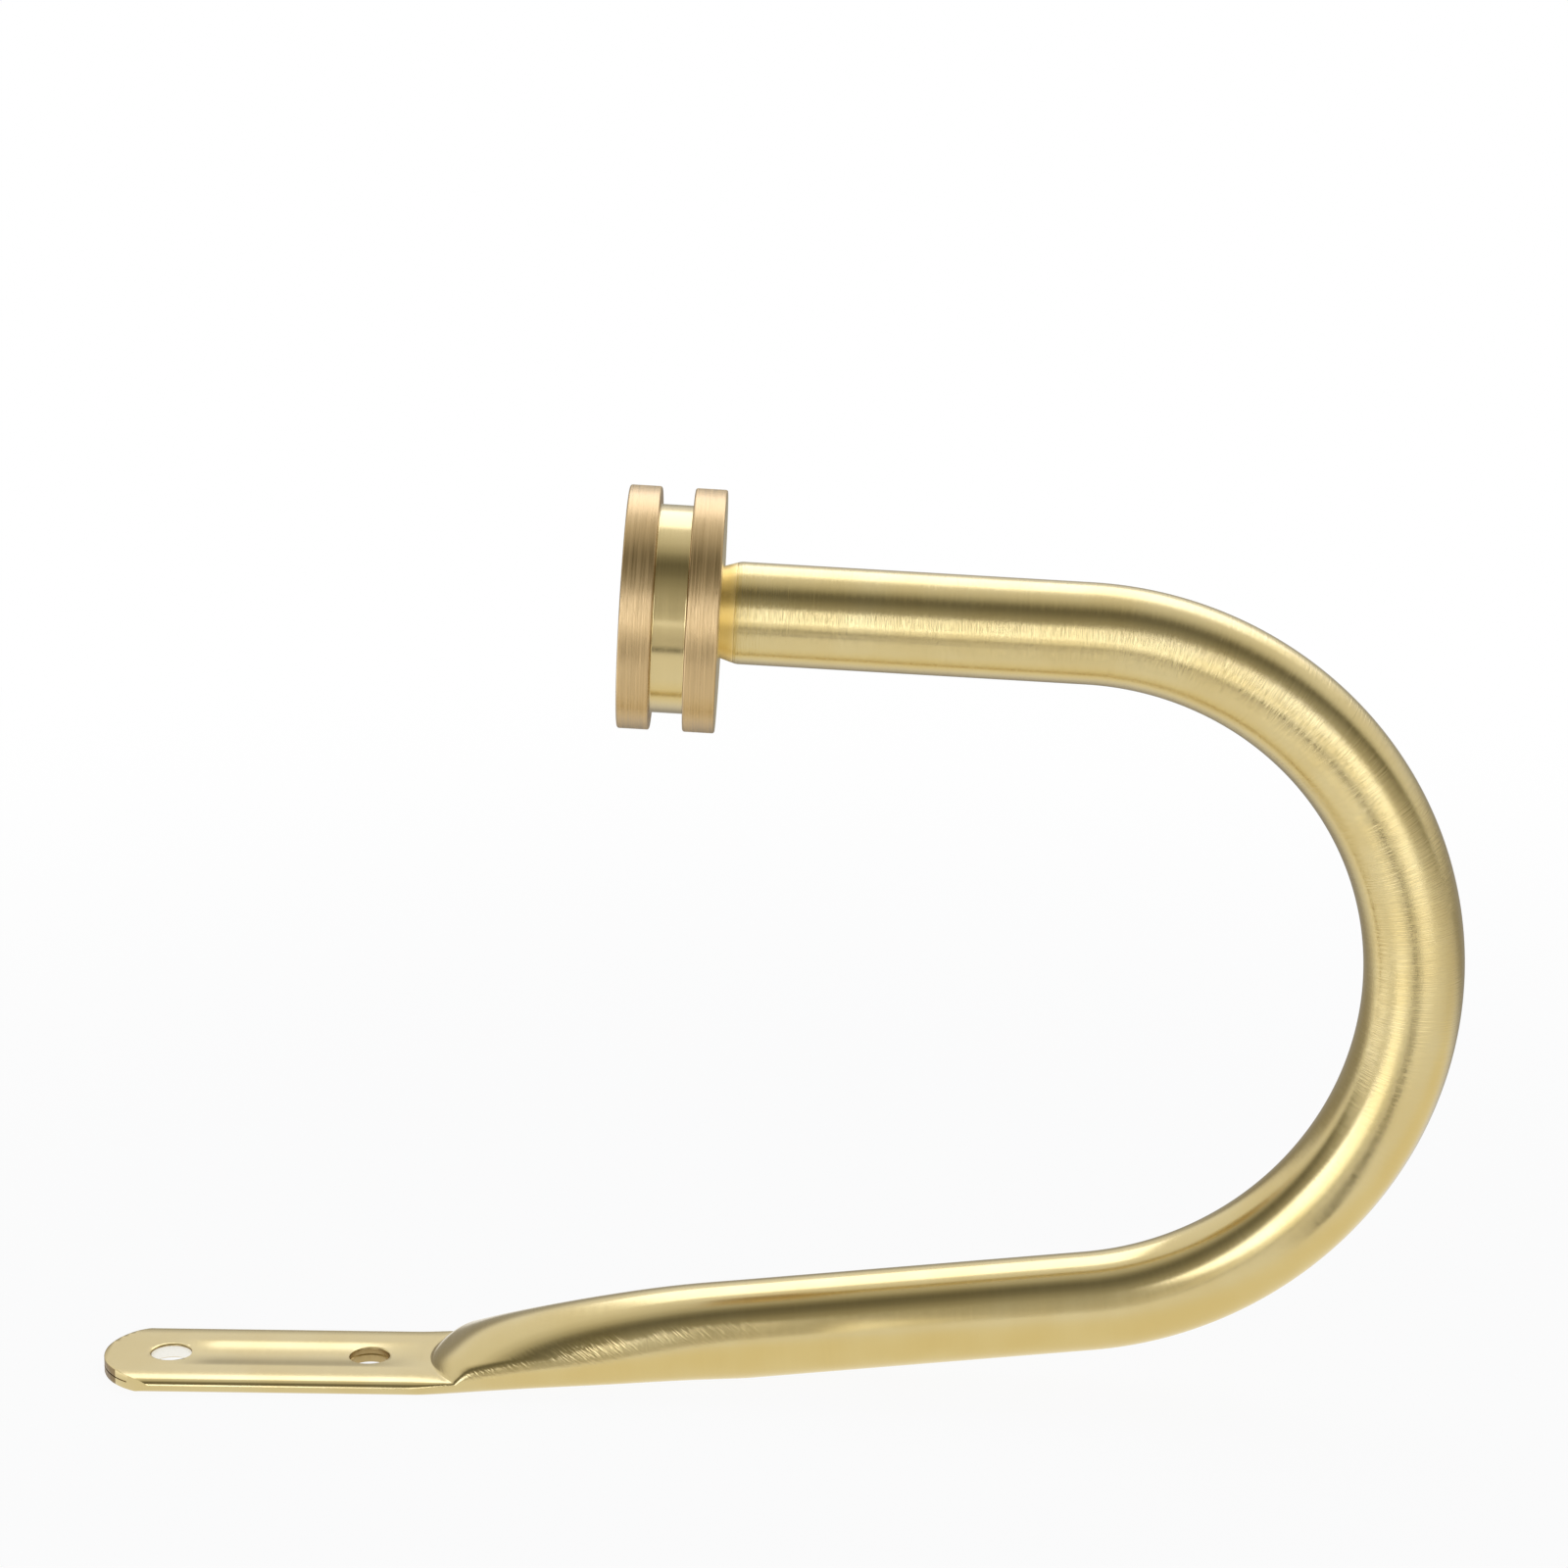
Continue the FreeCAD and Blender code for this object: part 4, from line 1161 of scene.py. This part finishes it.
@dataclass
class Studio:
    """A white sweep under soft light, with a dark gap and cards in front that reflections show."""

    floor_half: float = 6.0
    floor_height: float = -0.00002
    floor_white: float = 0.78
    floor_glow: float = 0.93
    glow_centre: Triple = (0.09, 0.02, 0.0)
    glow_reach: Pair = (0.1, 0.5)
    ambient: float = 0.4
    # Floor patches that only reflections see: a warm painted bounce beside the part, a grey patch to the
    # right, bright glowing patches to the left and front right that paint highlights, and painted shade
    # behind.
    zones: tuple[Zone, ...] = (
        Zone((1.0, 0.95, 0.78), (("Y", -0.06, -0.012), ("Y", 0.06, 0.012), ("X", 0.02, 0.06))),
        Zone((0.7, 0.68, 0.64), (("X", 0.26, 0.5), ("Y", -0.25, -0.02))),
        Zone((1.6, 1.65, 1.8), (("X", -0.025, -0.05),)),
        Zone((0.38, 0.36, 0.32), (("Y", 0.02, 0.15),)),
        Zone((1.8, 1.78, 1.7), (("X", 0.2, 0.27), ("X", 1.1, 0.3), ("Y", -0.3, -0.36))))
    sky_left: Zone = Zone((0.36, 0.34, 0.3), (("X", -0.1, -0.34), ("Z", 0.45, 0.2), ("Y", 0.1, 0.4)))
    sky: tuple[Pair, ...] = (
        (0.0, 0.62), (15.0, 0.54), (30.0, 0.46), (42.0, 0.34), (52.0, 0.22), (62.0, 0.16), (70.0, 0.26),
        (80.0, 0.56), (92.0, 0.8), (105.0, 0.95), (156.0, 1.0), (164.0, 0.8), (170.0, 0.5), (180.0, 0.4))
    sky_tint: Triple = (0.0, 0.06, 0.3)
    strips: tuple[tuple[Card, float, tuple[Triple, ...]], ...] = (
        (Card.DARK, 0.0003, ((-0.3, -0.205, 0.02), (0.04, -0.205, 0.02), (0.07, -0.205, 0.02))),
        (Card.DARK, 0.0003, (
            (0.074, -0.36, 0.08), (0.12, -0.355, 0.08), (0.15, -0.345, 0.065), (0.182, -0.3, 0.034),
            (0.187, -0.22, 0.02), (0.189, -0.12, 0.011), (0.19, -0.05, 0.004))),
        (Card.GREY, 0.0002, ((-0.3, -0.705, 0.495), (0.076, -0.705, 0.495))))
    side_card: tuple[Triple, ...] = ((0.088, -0.4, 0.0004), (0.088, -0.1, 0.0004),
                                     (0.088, -0.1, 0.055), (0.088, -0.4, 0.055))
    panels: tuple[Panel, ...] = (
        Panel("back_light", (0.42, 0.964, 1.22), (0.42, 0.0, 0.07), (1.5, 0.98), 1.4),
        Panel("left_light", (-0.5, -0.95, 0.32), (-0.5, 0.0, 0.32), (0.82, 0.52), 2.2),
        Panel("right_light", (0.64, -0.95, 0.32), (0.64, 0.0, 0.32), (0.6, 0.52), 1.6))

    @staticmethod
    def seen_rays(nodes: Nodes) -> tuple[Socket, Socket]:
        """Tell rays that show the backdrop from those that only light things.

        Args:
            nodes: The tree's layer.

        Returns:
            1 for mirror and glass rays, and 1 for those and camera rays, otherwise 0.
        """
        rays = nodes.add("ShaderNodeLightPath").outputs
        mirrored = nodes.math("MAXIMUM", rays["Is Glossy Ray"], rays["Is Transmission Ray"])
        return mirrored, nodes.math("MAXIMUM", mirrored, rays["Is Camera Ray"])

    def build_world(self) -> None:
        """Set up the backdrop: white, with a dark gap above the front in reflections."""
        world = bpy.data.worlds.new("white_studio")
        bpy.context.scene.world = world
        world.use_nodes = True
        nodes = Nodes(world.node_tree)
        way = nodes.add("ShaderNodeTexCoord").outputs["Generated"]
        place = nodes.add("ShaderNodeSeparateXYZ", {0: way}).outputs
        angle = nodes.math("ARCTAN2", place["Z"], nodes.times(place["Y"], -1.0))
        ramp = nodes.add("ShaderNodeValToRGB", {0: nodes.math("DIVIDE", angle, math.pi)})
        ramp.color_ramp.interpolation = "EASE"
        stops = ramp.color_ramp.elements
        while len(stops) < len(self.sky):
            stops.new(0.5)
        for stop, (degrees, level) in zip(stops, self.sky):
            stop.position = degrees / 180.0
            stop.color = rgba(tuple(level * (1.0 - tint * (1.0 - level)) for tint in self.sky_tint))
        mirrored, seen = self.seen_rays(nodes)
        left = self.sky_left.mask(nodes, place)
        sky = nodes.blend(left, ramp.outputs[0], rgba(self.sky_left.colour))
        colour = nodes.blend(mirrored, rgba(WHITE), sky)
        backdrop = nodes.add("ShaderNodeBackground", {"Color": colour, "Strength": 1.0})
        fill = nodes.add("ShaderNodeBackground", {"Color": rgba(WHITE), "Strength": self.ambient})
        nodes.surface("World", seen, fill, backdrop)

    def build_floor(self) -> None:
        """Lay the pale floor, which keeps the object's shadow."""
        half, low = self.floor_half, self.floor_height
        corners = [(-half, -half, low), (half, -half, low), (half, half, low), (-half, half, low)]
        floor = new_mesh("floor", corners, [(0, 1, 2, 3)])
        material, nodes = new_material("pale_floor")
        mirrored, seen = self.seen_rays(nodes)
        paper = nodes.add("ShaderNodeBsdfDiffuse", {"Color": rgba((self.floor_white,) * 3)})
        spot = nodes.add("ShaderNodeTexCoord").outputs["Object"]
        place = nodes.add("ShaderNodeSeparateXYZ", {0: spot}).outputs
        colour = rgba(WHITE)
        for zone in self.zones:
            colour = nodes.blend(nodes.times(zone.mask(nodes, place), mirrored), colour, rgba(zone.colour))
        glow = nodes.add("ShaderNodeEmission", {"Color": colour, "Strength": 1.0})
        away = nodes.add("ShaderNodeVectorMath", {0: spot, 1: self.glow_centre}, operation="DISTANCE")
        lit = nodes.remap(away.outputs["Value"], *self.glow_reach, self.floor_glow, 1.0)
        share = nodes.math("MAXIMUM", nodes.times(seen, lit), mirrored)
        nodes.surface("Material", share, paper, glow)
        floor.data.materials.append(material)

    def build_cards(self) -> None:
        """Set up the cards in front, which only reflections show, and only from their front."""
        points, faces, kinds = [], [], []
        for card, height, strip in self.strips:
            ways = np.gradient(np.array([station[:2] for station in strip]), axis=0)
            first = len(points)
            for (x, y, half), way in zip(strip, ways / np.linalg.norm(ways, axis=1)[:, None]):
                points += [(x - half * way[1], y + half * way[0], height),
                           (x + half * way[1], y - half * way[0], height)]
            faces += [(i, i + 1, i + 3, i + 2) for i in range(first, len(points) - 2, 2)]
            kinds += [card] * (len(strip) - 1)
        faces.append(tuple(range(len(points), len(points) + len(self.side_card))))
        points += self.side_card
        kinds.append(Card.SIDE)
        cards = new_mesh("front_flags", points, faces)
        for kind in ("camera", "diffuse", "transmission", "shadow"):
            setattr(cards, f"visible_{kind}", False)
        for card in Card:
            material, nodes = new_material(f"{card.name.lower()}_card")
            glow = nodes.add("ShaderNodeEmission", {"Color": rgba(card.value), "Strength": 1.0})
            clear = nodes.add("ShaderNodeBsdfTransparent")
            behind = nodes.add("ShaderNodeNewGeometry").outputs["Backfacing"]
            nodes.surface("Material", behind, glow, clear)
            cards.data.materials.append(material)
        for face, card in zip(cards.data.polygons, kinds):
            face.material_index = list(Card).index(card)

    def build(self) -> None:
        """Build the backdrop, the floor, the cards and the lights."""
        self.build_world()
        self.build_floor()
        self.build_cards()
        for panel in self.panels:
            panel.build()


@dataclass(frozen=True)
class Camera:
    """The camera, fitted to the photograph's view."""

    place: Triple = (0.090407, -0.628272, 0.268571)
    azimuth: float = 0.64
    elevation: float = 15.0
    roll: float = 0.52
    lens: float = 94.725
    sensor: float = 36.0
    clip_start: float = 0.01

    def build(self) -> None:
        """Make the camera and set it as the scene's."""
        data = bpy.data.cameras.new("camera")
        data.lens = self.lens
        data.sensor_width = self.sensor
        data.clip_start = self.clip_start
        obj = bpy.data.objects.new("camera", data)
        pose = Matrix.Translation(self.place)
        for angle, axis in ((self.azimuth, "Z"), (90.0 - self.elevation, "X"), (self.roll, "Z")):
            pose = pose @ Matrix.Rotation(math.radians(angle), 4, axis)
        obj.matrix_world = pose
        bpy.context.scene.collection.objects.link(obj)
        bpy.context.scene.camera = obj


def main() -> None:
    """Build the pieces, dress them and set up the studio."""
    logging.basicConfig(level=logging.INFO, format="%(name)s: %(message)s")
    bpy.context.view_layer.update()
    scene = bpy.context.scene
    scene.view_settings.view_transform = "Standard"
    groups = brush_group(), scratch_group()
    hook = Hook()
    # The collar's finish carries a painted highlight, and the finial's back finish is painted light that
    # the collar reflects.
    for piece, finishes in (
            (hook, (TUBE_BRASS, CUT_BRASS, PIERCED_BRASS, BARE_METAL)),
            (EndInsert("end_collar", "end_insert", Slot.INSERT, hook), (COLLAR_PAINTED_HIGHLIGHT_BRASS,)),
            (Stud("thread_stud", "stud", Slot.STUD, hook), (STUD_STEEL,)),
            (Finial("grooved_finial", "finial", Slot.FINIAL, hook), (RIM_BRASS, HUB_BRASS, BACK_PAINTED_LIGHT_BRASS))):
        piece.build()
        piece.dress(*(finish.build(*groups) for finish in finishes))
    Studio().build()
    Camera().build()


if __name__ == "__main__":
    main()
